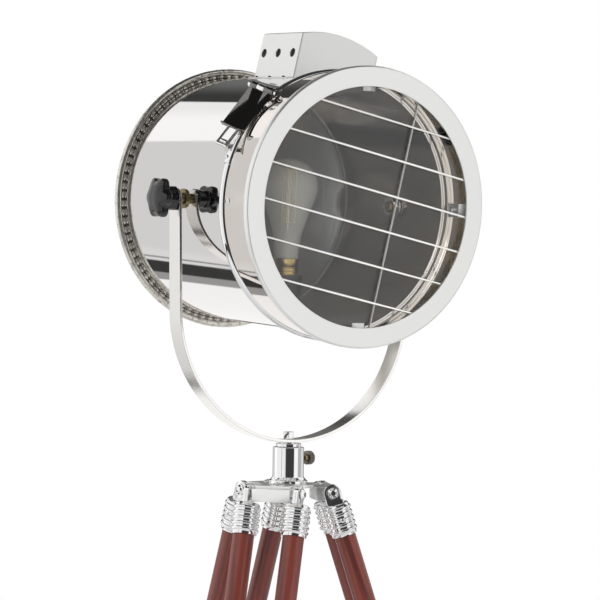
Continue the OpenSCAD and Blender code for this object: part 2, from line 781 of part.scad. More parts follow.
module hub_screws() color("silver") {
    for (i = LEGS) stand() rotate([0, 0, leg_dir(i)])
        translate([hub_screw_reach, 0, yoke_base - plate_top_drop]) {
        dome(5.2, 2.8);
        translate([0, 0, -9]) cylinder(r = 2.5, h = 9.2);
    }
    // The screw up through the plate that holds the post
    stand() translate([0, 0, yoke_base - plate_top_drop - plate_thickness]) {
        rotate([180, 0, 0]) dome(7, 3);
        cylinder(r = 4, h = plate_thickness);
    }
}

// One bolt a leg, along the hinge, with a domed head and a domed nut
module hinge_bolts() color("silver") for (i = LEGS)
    stand() rotate([0, 0, leg_dir(i)]) translate([hinge_reach, 0, hinge_height]) {
    head_start = pole_pitch / 2 + tab_half + 0.3;
    for (side = SIDES) rotate([side * 90, 0, 0]) {
        cylinder(r = hinge_bolt_r, h = head_start + 0.5);
        translate([0, 0, head_start]) cylinder(r = 6.4, h = 1.4);
        translate([0, 0, head_start + 1.4]) dome(5.6, 3.2);
    }
}

// ---- legs ----
pole_r = pole_diameter / 2;
ferrule_top = -12;
ferrule_length = 33;
ferrule_r = pole_r + 2;
clamp_height = 34;
clamp_top = -upper_length + clamp_height - 6;
slider_height = 18;
slider_top = -480;
shoe_height = 52;
shoe_start = 20;                          // the pole ends this far above the tip's middle
tip_height = 24;
screw_drop = clamp_height / 2;

// Ribbed ferrules with a flat eye that turns on the hinge bolt
module leg_ferrules(i) color("gainsboro") leg(i) for (side = SIDES)
    translate([0, side * pole_pitch / 2, 0]) {
    difference() {
        union() {
            translate([0, 0, ferrule_top - ferrule_length]) cylinder(r = ferrule_r, h = ferrule_length);
            ribs(5, 5.6, ferrule_r - 0.2, 1.9, ferrule_top - 5);
            translate([-tab_radius, -tab_half, ferrule_top - 2])
                cube([2 * tab_radius, 2 * tab_half, 2 - ferrule_top]);
            translate([0, tab_half, 0]) rotate([90, 0, 0]) cylinder(r = tab_radius, h = 2 * tab_half);
        }
        translate([0, 10, 0]) rotate([90, 0, 0]) cylinder(r = hinge_bolt_r + running, h = 20);
        translate([0, 0, ferrule_top - ferrule_length - 1]) cylinder(r = pole_r, h = ferrule_length - 4);
    }
}

module leg_poles(i) color("#7a2f22") leg(i) for (side = SIDES)
    translate([0, side * pole_pitch / 2, 0])
    translate([0, 0, -upper_length]) cylinder(r = pole_r, h = upper_length + ferrule_top - 5);

// Flat outline of three joined rings, used by the clamp and the slider
module three_rings(outer, height) {
    cylinder(r = outer, h = height);
    for (side = SIDES) translate([0, side * pole_pitch / 2, 0]) cylinder(r = outer, h = height);
    translate([-outer + 3, -pole_pitch / 2, 0]) cube([2 * outer - 6, pole_pitch, height]);
}

// Casting that ties the upper poles together and guides the lower pole
module leg_clamp(i) color("gainsboro") leg(i) translate([0, 0, clamp_top - clamp_height]) {
    difference() {
        union() {
            three_rings(pole_r + 3.5, clamp_height);
            translate([8, 0, screw_drop]) rotate([0, 90, 0]) cylinder(r = 8, h = 13);
        }
        for (side = SIDES) translate([0, side * pole_pitch / 2, 6])
            cylinder(r = pole_r, h = clamp_height);
        translate([0, 0, -1]) cylinder(r = pole_r + running, h = clamp_height + 2);
        translate([8, 0, screw_drop]) rotate([0, 90, 0]) cylinder(r = 3 + running, h = 20);
    }
}

module leg_clamp_screw(i) color("silver") leg(i)
    translate([0, 0, clamp_top - clamp_height + screw_drop]) rotate([0, 90, 0]) {
    translate([0, 0, pole_r + 0.4]) cylinder(r = 3, h = 18);
    translate([0, 0, 23]) cylinder(r = 5, h = 4);
    translate([0, 0, 27]) thumb_head(9, 8, 32);
    translate([0, 0, 35]) dome(7, 1.2);
}

module leg_lower_pole(i) color("#7a2f22") leg(i) {
    pole_low = shoe_start - leg_length;
    translate([0, 0, pole_low]) cylinder(r = pole_r, h = slider_top - 5 - pole_low);
}

// Bracket on the top of the lower pole; its outer rings run on the upper poles
module leg_slider(i) color("gainsboro") leg(i) translate([0, 0, slider_top - slider_height]) {
    difference() {
        three_rings(pole_r + 2.5, slider_height);
        for (side = SIDES) translate([0, side * pole_pitch / 2, -1])
            cylinder(r = pole_r + running, h = slider_height + 2);
        translate([0, 0, -1]) cylinder(r = pole_r, h = slider_height - 4);
    }
}

// Ribbed metal shoe on the end of the lower pole
module leg_shoe(i) color("gainsboro") leg(i) translate([0, 0, -leg_length]) {
    difference() {
        union() {
            translate([0, 0, tip_height]) cylinder(r = ferrule_r, h = shoe_height - tip_height);
            ribs(3, 5.6, ferrule_r - 0.2, 1.9, shoe_height - 5);
        }
        translate([0, 0, shoe_start]) cylinder(r = pole_r, h = 100);
    }
}

// Rubber tip, cut level with the floor
module leg_tip(i) color("#1b1b1b") difference() {
    leg(i) translate([0, 0, -leg_length]) difference() {
        translate([0, 0, -10]) cylinder(r = ferrule_r + 1.5, h = tip_height + 10);
        translate([0, 0, shoe_start]) cylinder(r = pole_r, h = 100);
    }
    translate([-1000, -1000, -100]) cube([2000, 2000, 100]);
}

head() drum_shell();
head() rear_cover();
head() rear_rim();
head() back_reflector();
head() clamp_band();
barrel() vent_box();
head_fasteners();
holder_stand();
lampholder();
bulb_cap();
bulb_glass();
bulb_filament();
head() cord_gland();
trunnion_studs();
trunnion_nuts();
latch_bracket();
latch_hook();
head() bezel_skirt();
head() front_ring();
barrel() wire_guard();
head() front_glass();
head() glass_clips();
head() bezel_screws();
latch_lever();
latch_bail();
tilt_knob(-1);  // tilt_knob_left
tilt_knob(1);  // tilt_knob_right
yoke();
yoke_nut();
swivel_spigot();
socket_post();
hub_plate();
hinge_blocks();
hub_screws();
hinge_bolts();
pan_thumbscrew();
leg_ferrules(0);  // leg_a_ferrules
leg_poles(0);  // leg_a_poles
leg_clamp(0);  // leg_a_clamp
leg_lower_pole(0);  // leg_a_lower_pole
leg_slider(0);  // leg_a_slider
leg_shoe(0);  // leg_a_shoe
leg_tip(0);  // leg_a_tip
leg_clamp_screw(0);  // leg_a_clamp_screw
leg_ferrules(1);  // leg_b_ferrules
leg_poles(1);  // leg_b_poles
leg_clamp(1);  // leg_b_clamp
leg_lower_pole(1);  // leg_b_lower_pole
leg_slider(1);  // leg_b_slider
leg_shoe(1);  // leg_b_shoe
leg_tip(1);  // leg_b_tip
leg_clamp_screw(1);  // leg_b_clamp_screw
leg_ferrules(2);  // leg_c_ferrules
leg_poles(2);  // leg_c_poles
leg_clamp(2);  // leg_c_clamp
leg_lower_pole(2);  // leg_c_lower_pole
leg_slider(2);  // leg_c_slider
leg_shoe(2);  // leg_c_shoe
leg_tip(2);  // leg_c_tip
leg_clamp_screw(2);  // leg_c_clamp_screw
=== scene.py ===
"""Looks, light and camera of the tripod spotlight floor lamp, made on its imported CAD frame.

Metres, +Z up, the lamp shines towards -Y. The head frame has x to the viewer's right, y up and
z along the lamp's axis to the front; the leg frame has z up the leg and y along its hinge.
"""
import json
import math

import bmesh
import bpy
from bpy.props import FloatProperty, FloatVectorProperty, IntProperty, PointerProperty
from mathutils import Matrix, Vector


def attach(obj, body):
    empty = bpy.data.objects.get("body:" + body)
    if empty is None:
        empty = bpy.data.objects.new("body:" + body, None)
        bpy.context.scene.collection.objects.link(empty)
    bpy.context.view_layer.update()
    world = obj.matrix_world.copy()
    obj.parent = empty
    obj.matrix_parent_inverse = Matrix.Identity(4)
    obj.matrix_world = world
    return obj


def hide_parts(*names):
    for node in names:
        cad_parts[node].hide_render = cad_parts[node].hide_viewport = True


bl_info = {
    "name": "Tripod spotlight lamp",
    "version": (1, 0, 0),
    "blender": (4, 5, 0),
    "location": "View3D > Sidebar > Lamp",
    "description": "Dresses the CAD frame of a tripod spotlight floor lamp",
    "category": "Object",
}

MM = 0.001
# Clean-up of the CAD's meshes: reach of doubles, and angle within one flat face
MERGE, FLAT_ANGLE = 0.003 * MM, math.radians(0.15)
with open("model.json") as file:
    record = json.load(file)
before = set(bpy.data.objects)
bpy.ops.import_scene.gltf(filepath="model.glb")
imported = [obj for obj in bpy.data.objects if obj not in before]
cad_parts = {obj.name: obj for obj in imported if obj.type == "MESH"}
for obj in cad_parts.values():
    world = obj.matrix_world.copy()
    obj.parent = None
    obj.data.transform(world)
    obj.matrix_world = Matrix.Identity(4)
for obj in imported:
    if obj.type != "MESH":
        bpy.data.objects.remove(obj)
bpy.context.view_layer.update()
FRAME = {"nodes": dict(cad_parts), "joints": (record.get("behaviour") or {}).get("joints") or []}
NODES = FRAME["nodes"]
JOINTS = {joint["name"]: joint for joint in FRAME["joints"]}

# ---- frames and stations shared with the CAD source ----
PITCH = math.radians(3.3)
SPLAY = math.radians(18.0)
LEGS = {"a": -22.0, "b": 98.0, "c": 218.0}
PIVOT = Vector(JOINTS["head_tilt"]["pos_m"])
YOKE_BASE = Vector(JOINTS["head_swivel"]["pos_m"])
HEAD_TURN = (math.radians(90) + PITCH, 0.0, 0.0)
HEAD = Matrix.Translation(PIVOT) @ Matrix.Rotation(HEAD_TURN[0], 4, "X")
BARREL = HEAD @ Matrix.Rotation(math.radians(-11.5), 4, "Z")
BULB = HEAD @ Matrix.Translation((0, 0, -8 * MM)) @ Matrix.Rotation(math.radians(-90), 4, "X")
STAND = Matrix.Translation(YOKE_BASE)
# Millimetres along the lamp's axis from the tilt axis, and radii round it
FRONT_Z, SEAM_Z, COVER_Z, REAR_Z = 142.0, 85.0, -126.0, -133.0
DRUM_R, SKIRT_R, FLANGE_R, SHEET = 129.0, 135.0, 134.0, 1.2
LATCH_ANGLE = math.radians(141.1)
VENT_LEFT, VENT_WIDTH, VENT_BACK, VENT_LENGTH = -38.0, 96.0, -67.0, 77.0
VENT_CENTRE, VENT_BALL, VENT_TOP = 10.0, 132.5, 180.0
# Yoke: outer radius, bar, half width, height of the axis over the bend's middle, lean of an arm
YOKE_R, BAR, BAR_HALF, ARC_DROP, SPREAD = 137.5, 3.0, 10.75, 110.0, math.radians(1.3)
ARM_OUT = 140.03
# Depths under the yoke
POST_TOP, PLATE_TOP = -4.8, -42.8
POLE_PITCH, POLE_R = 54.0, 11.0
# From the stand's axis: hub screws, and end of the thumbscrew's bare thread; bolt heads from a leg's middle
HUB_SCREWS_AT, THREAD_END, BOLT_HEADS_AT = 31.5, 25.9, 30.3
# Radius of the bulb's wires round its axis, and the cord gland's distance under the lamp's axis
FILAMENT_CORE, GLAND_DOWN = 2.2, 88
# Camera: way it looks and roll in degrees; metres behind and under a point of the lamp's axis, and
# how far that point lies before the tilt axis
CAMERA_AHEAD, CAMERA_ROLL = (0.5316, 0.847, 0.0), 0.9
CAMERA_BACK, CAMERA_DROP, AIMED_AT = 2.6754, 0.0996, 0.015
# Studio: degrees that bring the camera's side to 0, and light where no panel stands
CAMERA_SIDE, OPEN_STUDIO = 122.1, 0.72


def leg_place(leg):
    """Place and turn of a leg's frame, on its hinge."""
    spot = Vector(JOINTS[f"leg_{leg}_fold"]["pos_m"])
    return spot, (0.0, -SPLAY, math.radians(LEGS[leg]))


def leg_frame(leg):
    spot, turn = leg_place(leg)
    return Matrix.Translation(spot) @ Matrix.Rotation(turn[2], 4, "Z") @ Matrix.Rotation(turn[1], 4, "Y")


def trunnion_frame(side):
    """Cross axis of the head: z runs from the lamp's axis out to one side."""
    return HEAD @ Matrix.Rotation(side * math.radians(90), 4, "Y")


# ---- node helpers ----
def node(tree, kind, inputs=None, **settings):
    """Adds a node with its settings, and sets or links its inputs by name or number."""
    made = tree.nodes.new(kind)
    for key, value in settings.items():
        setattr(made, key, value)
    for key, value in (inputs or {}).items():
        if isinstance(value, bpy.types.NodeSocket):
            tree.links.new(value, made.inputs[key])
        else:
            made.inputs[key].default_value = value
    return made


def first_of(tree, kind):
    """First node of a type."""
    return next(made for made in tree.nodes if made.type == kind)


def calc(tree, operation, *terms):
    """One Math node; returns its value."""
    return node(tree, "ShaderNodeMath", dict(enumerate(terms)), operation=operation).outputs[0]


def times(tree, first, second):
    return calc(tree, "MULTIPLY", first, second)


def plus(tree, first, second):
    return calc(tree, "ADD", first, second)


def minus(tree, first, second):
    return calc(tree, "SUBTRACT", first, second)


def distance(tree, x, y):
    """Distance from the z axis."""
    return calc(tree, "SQRT", plus(tree, times(tree, x, x), times(tree, y, y)))


def step(tree, value, low, high, kind="SMOOTHSTEP"):
    """0 under low, 1 over high and smooth between."""
    return node(tree, "ShaderNodeMapRange", {0: value, 1: low, 2: high, 3: 0.0, 4: 1.0},
                interpolation_type=kind).outputs[0]


def mixed(tree, share, first, second):
    """Mix of two colours."""
    return node(tree, "ShaderNodeMix", {0: share, 6: first, 7: second}, data_type="RGBA").outputs[2]


def either(tree, share, first, second):
    """Mix of two numbers."""
    return node(tree, "ShaderNodeMix", {0: share, 2: first, 3: second}, data_type="FLOAT").outputs[0]


def noise(tree, vector, scale, detail=2.0, rough=0.5, **more):
    """Value of a noise texture."""
    inputs = {"Vector": vector, "Scale": scale, "Detail": detail, "Roughness": rough, **more}
    return node(tree, "ShaderNodeTexNoise", inputs).outputs[0]


def new_tree(name, kind, inputs, outputs):
    """Node group with named sockets; returns it with its input and output nodes."""
    tree = bpy.data.node_groups.new(name, kind)
    for in_out, sockets in (("INPUT", inputs), ("OUTPUT", outputs)):
        for label, (socket, default) in sockets.items():
            made = tree.interface.new_socket(label, in_out=in_out, socket_type=f"NodeSocket{socket}")
            if default is not None:
                made.default_value = default
    return tree, tree.nodes.new("NodeGroupInput"), tree.nodes.new("NodeGroupOutput")


# ---- shared surface effects ----
EFFECT_IN = {
    "Vector": ("Vector", None),
    "Base Color": ("Color", (0.8, 0.8, 0.8, 1.0)),
    "Second Color": ("Color", (0.4, 0.4, 0.4, 1.0)),
    "Roughness": ("Float", 0.3),
    "Scale": ("Float", 1.0),
    "Contrast": ("Float", 0.5),
}
EFFECT_OUT = {"Color": ("Color", None), "Roughness": ("Float", None), "Height": ("Float", None)}


def effect(name, build):
    """Shader group; build returns the share of the second colour, the change of roughness and the height."""
    if name in bpy.data.node_groups:
        return bpy.data.node_groups[name]
    tree, start, end = new_tree(name, "ShaderNodeTree", EFFECT_IN, EFFECT_OUT)
    given = {socket.name: socket for socket in start.outputs if socket.name}
    share, rougher, height = build(tree, given["Vector"], given["Scale"])
    share = times(tree, share, given["Contrast"])
    tree.links.new(mixed(tree, share, given["Base Color"], given["Second Color"]), end.inputs["Color"])
    rougher = plus(tree, times(tree, rougher, given["Contrast"]), 1.0)
    tree.links.new(times(tree, given["Roughness"], rougher), end.inputs["Roughness"])
    tree.links.new(height, end.inputs["Height"])
    return tree


def spun_lines(tree, vector, scale):
    """Fine rings round the z axis, as on spun and turned sheet, with faint smudges; on the dish and the
    drum's inside these patches take painted warm reflections.
    """
    parts = node(tree, "ShaderNodeSeparateXYZ", {0: vector}).outputs
    radius = distance(tree, parts[0], parts[1])
    along = times(tree, plus(tree, radius, parts[2]), scale)
    lines = node(tree, "ShaderNodeTexNoise", {"W": along, "Scale": 1.0, "Detail": 3.0},
                 noise_dimensions="1D").outputs[0]
    smudge = step(tree, noise(tree, vector, 14.0, 4.0, 0.6), 0.42, 0.75)
    return smudge, smudge, lines


def drawn_lines(tree, vector, scale):
    """Brushed lines; the material's Mapping stretches them along the bar."""
    lines = noise(tree, node(tree, "ShaderNodeVectorMath", {0: vector, "Scale": scale},
                             operation="SCALE").outputs[0], 1.0, 4.0, 0.7)
    smudge = step(tree, lines, 0.35, 0.75)
    return smudge, minus(tree, lines, 0.5), lines


def polished_cast(tree, vector, scale):
    """Soft waves and a few pits, as on polished and plated castings."""
    waves = noise(tree, vector, times(tree, scale, 60.0), 2.0)
    pits = step(tree, noise(tree, vector, times(tree, scale, 900.0), 1.0), 0.68, 0.8)
    cloud = step(tree, noise(tree, vector, times(tree, scale, 35.0), 4.0, 0.6), 0.4, 0.75)
    height = minus(tree, waves, times(tree, pits, 0.08))
    return calc(tree, "MAXIMUM", times(tree, cloud, 0.5), pits), cloud, height


def hammered(tree, vector, scale):
    """Small dents with darkened hollows, as on antiqued nickel."""
    spread = times(tree, scale, 300.0)
    cells = node(tree, "ShaderNodeTexVoronoi", {"Vector": vector, "Scale": spread},
                 feature="SMOOTH_F1").outputs[0]
    grime = step(tree, noise(tree, vector, times(tree, scale, 420.0), 3.0, 0.7), 0.5, 0.62)
    dents = step(tree, cells, 0.15, 0.65)
    return times(tree, grime, minus(tree, 1.15, dents)), grime, dents


def moulded(tree, vector, scale):
    """Fine moulded grain with light scuffs, for plastics and rubber."""
    grain = noise(tree, vector, times(tree, scale, 1400.0), 2.0)
    flow = noise(tree, vector, times(tree, scale, 45.0), 4.0, 0.6)
    scuffs = step(tree, flow, 0.52, 0.8)
    return scuffs, scuffs, plus(tree, times(tree, grain, 0.3), flow)


def stretched(tree, vector, share):
    """Coordinates that run along z at a share of their pace."""
    pace = (1.0, 1.0, share)
    return node(tree, "ShaderNodeVectorMath", {0: vector, 1: pace}, operation="MULTIPLY").outputs[0]


def wood_grain(tree, vector, scale):
    """Straight grain along z with darker late wood, streaks and short pores."""
    drawn = stretched(tree, vector, 0.055)
    bend = noise(tree, drawn, times(tree, scale, 45.0), 3.0, 0.6)
    rings = node(tree, "ShaderNodeTexWave", {"Vector": drawn, "Scale": times(tree, scale, 34.0),
                 "Distortion": 9.0, "Detail": 3.0, "Detail Scale": 1.4}, wave_type="BANDS",
                 bands_direction="DIAGONAL").outputs[1]
    streaks = noise(tree, drawn, times(tree, scale, 420.0), 4.0, 0.7)
    hair = stretched(tree, vector, 0.03)
    pores = step(tree, noise(tree, hair, times(tree, scale, 2300.0), 1.0), 0.62, 0.72)
    tone = plus(tree, times(tree, rings, 0.45), times(tree, streaks, 0.35))
    tone = step(tree, plus(tree, tone, times(tree, bend, 0.45)), 0.42, 0.95)
    share = calc(tree, "MAXIMUM", tone, times(tree, pores, 0.8))
    return share, streaks, minus(tree, times(tree, streaks, 0.3), pores)


def blown(tree, vector, scale):
    """Faint waves and dust on glass."""
    waves = noise(tree, vector, times(tree, scale, 18.0), 1.0)
    dust = step(tree, noise(tree, vector, times(tree, scale, 55.0), 5.0, 0.7), 0.5, 0.85)
    return dust, dust, waves


EFFECTS = {
    "Spun lines": spun_lines,
    "Drawn lines": drawn_lines,
    "Polished casting": polished_cast,
    "Hammered nickel": hammered,
    "Moulded grain": moulded,
    "Wood grain": wood_grain,
    "Blown glass": blown,
}


# ---- materials ----
def srgb(colour):
    """Linear RGBA of a colour property."""
    return (*colour, 1.0)


def finish(name, kind, base, second, rough, scale=1.0, contrast=0.5, bump=0.0, place=None, **shader):
    """Material with one surface effect, on Object coordinates moved by place = (spot, turn, scale)."""
    if name in bpy.data.materials:
        return bpy.data.materials[name]
    material = bpy.data.materials.new(name)
    material.use_nodes = True
    tree = material.node_tree
    surface = first_of(tree, "BSDF_PRINCIPLED")
    spot, turn, stretch = place or ((0, 0, 0), (0, 0, 0), (1, 1, 1))
    vector = node(tree, "ShaderNodeTexCoord").outputs["Object"]
    vector = node(tree, "ShaderNodeMapping", {0: vector, "Location": spot, "Rotation": turn},
                  vector_type="TEXTURE").outputs[0]
    if tuple(stretch) != (1, 1, 1):
        vector = node(tree, "ShaderNodeMapping", {0: vector, "Scale": stretch}).outputs[0]
    values = {"Vector": vector, "Base Color": srgb(base), "Second Color": srgb(second),
              "Roughness": rough, "Scale": scale, "Contrast": contrast}
    pattern = node(tree, "ShaderNodeGroup", values, node_tree=effect(kind, EFFECTS[kind]))
    tree.links.new(pattern.outputs["Color"], surface.inputs["Base Color"])
    tree.links.new(pattern.outputs["Roughness"], surface.inputs["Roughness"])
    if bump:
        height = pattern.outputs["Height"]
        bumped = node(tree, "ShaderNodeBump", {"Height": height, "Distance": bump, "Strength": 1.0})
        tree.links.new(bumped.outputs[0], surface.inputs["Normal"])
    for label, value in shader.items():
        surface.inputs[label.replace("_", " ").title().replace("Ior", "IOR")].default_value = value
    return material


def metal(name, kind, base, second, rough, **more):
    return finish(name, kind, base, second, rough, Metallic=1.0, **more)


def clear_glass(name, tint, rough, scale):
    """Glass that lets light through to the parts behind it."""
    material = finish(name, "Blown glass", tint, tint, rough, scale=scale, contrast=0.6, bump=0.00002,
                      transmission_weight=1.0, ior=1.45)
    tree = material.node_tree
    surface = first_of(tree, "BSDF_PRINCIPLED")
    out = first_of(tree, "OUTPUT_MATERIAL")
    rays = node(tree, "ShaderNodeLightPath").outputs
    clear = node(tree, "ShaderNodeBsdfTransparent", {0: srgb(tint)})
    unseen = calc(tree, "MAXIMUM", rays["Is Shadow Ray"], rays["Is Diffuse Ray"])
    both = node(tree, "ShaderNodeMixShader", {0: unseen, 1: surface.outputs[0], 2: clear.outputs[0]})
    tree.links.new(both.outputs[0], out.inputs["Surface"])
    return material


def materials():
    """Every finish of the lamp by its plain name."""
    tone = bpy.context.scene.lamp_tones
    head = (tuple(PIVOT), HEAD_TURN, (1, 1, 1))
    made = {
        "polished": metal("polished_sheet", "Spun lines", tone.polished, tone.polished, 0.03, scale=1600.0,
                          contrast=0.9, bump=0.0000012, place=head),
        "skirt": metal("polished_skirt", "Spun lines", tone.skirt, tone.polished, 0.03, scale=1600.0,
                       contrast=0.5, bump=0.0000012, place=head),
        "satin_ring": metal("satin_ring", "Spun lines", tone.satin, tone.polished, 0.2, scale=2600.0,
                            contrast=0.25, bump=0.000008, place=head),
        "satin_sheet": metal("satin_sheet", "Drawn lines", tone.satin, tone.polished, 0.2, scale=1.0,
                             contrast=0.35, bump=0.000004, place=(head[0], HEAD_TURN, (1500, 60, 60))),
        "rear_sheet": metal("rear_sheet", "Spun lines", tone.polished, tone.satin, 0.24, scale=1800.0,
                            contrast=0.4, bump=0.000006, place=head),
        # Reflector: grey base as painted shade inside the drum, with painted warm reflections as its second
        # colour.
        "dish": metal("spun_dish", "Spun lines", tone.dish, tone.dish_painted_warm_reflection, 0.07, scale=260.0,
                      contrast=0.8, bump=0.00001, place=head),
        # Inner face: darker copy of the polished sheet as painted shade inside the drum, with painted warm
        # reflections as its second colour.
        "inside": metal("drum_inside", "Spun lines", tone.inside, tone.inside_painted_warm_reflection, 0.06, scale=260.0,
                        contrast=0.8, bump=0.000004, place=head),
        "nickel": metal("antique_nickel", "Hammered nickel", tone.nickel, tone.grime, 0.3, scale=0.5,
                        contrast=0.45, bump=0.00005),
        # Darker grey: painted shade in the rim's groove between the beads; the thumbscrew takes the same
        # grey.
        "groove": metal("darkened_groove", "Hammered nickel", tone.groove, tone.nickel, 0.3, scale=1.6,
                        contrast=0.25, bump=0.00006),
        "chrome": metal("plated_castings", "Polished casting", tone.chrome, tone.satin, 0.035, scale=1.4,
                        contrast=0.7, bump=0.00003),
        "fasteners": metal("plated_fasteners", "Polished casting", tone.chrome, tone.grime, 0.12, scale=3.0,
                           contrast=0.4, bump=0.00002),
        "latch": metal("latch_plate", "Drawn lines", tone.chrome, tone.polished, 0.06, contrast=0.5,
                       bump=0.000002, place=(head[0], HEAD_TURN, (900, 900, 60))),
        # The lever's darker base colour is a painted dark reflection.
        "lever": metal("latch_lever", "Drawn lines", tone.lever, tone.polished, 0.1, contrast=0.12,
                       bump=0.000002, place=(head[0], HEAD_TURN, (900, 900, 60))),
        "wire": metal("guard_wire", "Polished casting", tone.wire, tone.polished, 0.1, scale=4.0,
                      contrast=0.4, bump=0.000004),
        "yoke": metal("brushed_bar", "Drawn lines", tone.yoke, tone.polished, 0.17, contrast=0.5,
                      bump=0.000005, place=((0, 0, 0), (0, 0, 0), (45, 1700, 45))),
        "white": metal("white_nickel", "Polished casting", tone.white_nickel, tone.satin, 0.24, scale=2.0,
                       contrast=0.4, bump=0.00001),
        "brass": metal("bright_brass", "Polished casting", tone.brass, tone.dark_brass, 0.2, scale=3.0,
                       contrast=0.5, bump=0.00001),
        "dark_brass": metal("dark_brass", "Hammered nickel", tone.dark_brass, tone.brass, 0.34, scale=2.2,
                            contrast=0.7, bump=0.00004),
        "knob": finish("moulded_knob", "Moulded grain", tone.knob, tone.knob_scuff, 0.22, contrast=0.35,
                       bump=0.000006, coat_weight=0.3, coat_roughness=0.12),
        "holder": finish("moulded_lampholder", "Moulded grain", tone.holder, tone.knob_scuff, 0.18,
                         contrast=0.3, bump=0.000006, coat_weight=0.4, coat_roughness=0.08),
        "gland": finish("moulded_gland", "Moulded grain", tone.knob, tone.knob_scuff, 0.42, contrast=0.5,
                        bump=0.00001),
        "rubber": finish("tip_rubber", "Moulded grain", tone.rubber, tone.rubber_dust, 0.7, contrast=0.8,
                         bump=0.00003),
        "filament": finish("amber_filament", "Moulded grain", tone.filament, tone.brass, 0.3, contrast=0.5,
                           bump=0.000004),
        "glass": clear_glass("clear_glass", (0.97, 0.98, 0.975), 0.008, 1.0),
        "bulb": clear_glass("bulb_glass", (0.99, 0.985, 0.97), 0.005, 2.0),
    }
    for leg in LEGS:
        spot, turn = leg_place(leg)
        made[f"wood_{leg}"] = finish(f"mahogany_{leg}", "Wood grain", tone.wood, tone.wood_dark, 0.36,
                                     contrast=0.75, bump=0.00004, place=(tuple(spot), turn, (1, 1, 1)),
                                     coat_weight=0.45, coat_roughness=0.16)
    return made


# ---- mesh helpers ----
def placed(name, data):
    """New object in the scene."""
    obj = bpy.data.objects.new(name, data)
    bpy.context.scene.collection.objects.link(obj)
    return obj


def piece(name, mesh, body, material, replaced=(), place=None, smooth=40.0):
    """Puts a finished mesh in the scene on its body, in the row frame."""
    if place is not None:
        mesh.transform(place)
    mesh.materials.clear()
    mesh.materials.append(material)
    mesh.polygons.foreach_set("use_smooth", [True] * len(mesh.polygons))
    if smooth:
        mesh.set_sharp_from_angle(angle=math.radians(smooth))
    obj = placed(name, mesh)
    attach(obj, body)
    if replaced:
        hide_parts(*replaced)
    return obj


def to_mesh(work, name, merge=0.0000005):
    """Closes a bmesh's seams, turns its faces outward and makes it a mesh."""
    bmesh.ops.remove_doubles(work, verts=work.verts, dist=merge)
    bmesh.ops.recalc_face_normals(work, faces=work.faces)
    mesh = bpy.data.meshes.new(name)
    work.to_mesh(mesh)
    work.free()
    return mesh


def eased(profile, radius, steps=3, closed=False):
    """The profile with each corner rounded by an arc, and a point close to it that keeps the flats flat."""
    count, points = len(profile), []
    for i, corner in enumerate(profile):
        if not closed and i in (0, count - 1):
            points.append(corner)
            continue
        here, back, ahead = Vector(corner), Vector(profile[i - 1]), Vector(profile[(i + 1) % count])
        to_back, to_ahead = back - here, ahead - here
        reach = min(radius, to_back.length / 2.2, to_ahead.length / 2.2)
        first, last = here + to_back.normalized() * reach, here + to_ahead.normalized() * reach
        points.append(tuple(here + to_back * min(0.49, 1.5 * reach / to_back.length)))
        for k in range(steps + 1):
            t = k / steps
            points.append(tuple(first * (1 - t) ** 2 + here * 2 * t * (1 - t) + last * t * t))
        points.append(tuple(here + to_ahead * min(0.49, 1.5 * reach / to_ahead.length)))
    return points


def lathe(profile, sides=96, closed=False, scale=MM):
    """Turns (radius, z) points round the z axis; a closed profile makes a ring."""
    work = bmesh.new()
    rings = []
    for radius, height in profile:
        ring = []
        for k in range(sides if radius > 1e-9 else 1):
            angle = math.tau * k / sides
            spot = (radius * math.cos(angle) * scale, radius * math.sin(angle) * scale, height * scale)
            ring.append(work.verts.new(spot))
        rings.append(ring)
    pairs = list(zip(rings, rings[1:] + rings[:1])) if closed else list(zip(rings, rings[1:]))
    for low, high in pairs:
        for k in range(sides):
            corners = [low[k % len(low)], low[(k + 1) % len(low)]]
            corners += [high[(k + 1) % len(high)], high[k % len(high)]]
            corners = list(dict.fromkeys(corners))
            if len(corners) > 2:
                work.faces.new(corners)
    return work


def softened(name, width):
    """Mesh of a CAD node with its doubles merged and its edges rounded by width, in mm."""
    work = bmesh.new()
    work.from_mesh(NODES[name].data)
    bmesh.ops.remove_doubles(work, verts=work.verts, dist=MERGE)
    bmesh.ops.dissolve_limit(work, angle_limit=FLAT_ANGLE, verts=work.verts, edges=work.edges,
                             delimit={"NORMAL"})
    mesh = bpy.data.meshes.new(name)
    work.to_mesh(mesh)
    work.free()
    mesh.polygons.foreach_set("use_smooth", [True] * len(mesh.polygons))
    return rounded(mesh, width) if width else mesh


def finished(name, body, material, width):
    """A CAD node's softened mesh as the piece that takes its place."""
    smooth = 0 if width else 35
    return piece(f"{name}_finished", softened(name, width), body, material, (name,), smooth=smooth)


def off_axis(frame, spot):
    """Distance of a place from a frame's z axis."""
    spot = frame.inverted() @ spot
    return math.hypot(spot.x, spot.y)


def two_toned(obj, material, holds):
    """Gives a second material to the faces for whose middle holds is true."""
    obj.data.materials.append(material)
    for face in obj.data.polygons:
        if holds(face.center):
            face.material_index = 1


def baked(carrier):
    """The carrier's evaluated mesh; the carrier itself goes."""
    bpy.context.view_layer.update()
    graph = bpy.context.evaluated_depsgraph_get()
    mesh = bpy.data.meshes.new_from_object(carrier.evaluated_get(graph), preserve_all_data_layers=True,
                                           depsgraph=graph)
    bpy.data.objects.remove(carrier)
    return mesh


def rounded(mesh, width, segments=2, angle=30.0):
    """The mesh with its edges rounded by width, in mm."""
    carrier = placed("rounded", mesh)
    mesh.polygons.foreach_set("use_smooth", [True] * len(mesh.polygons))
    bevel = carrier.modifiers.new("Edges", "BEVEL")
    bevel.width = width * MM
    bevel.segments = segments
    bevel.limit_method = "ANGLE"
    bevel.angle_limit = math.radians(angle)
    bevel.harden_normals = True
    return baked(carrier)


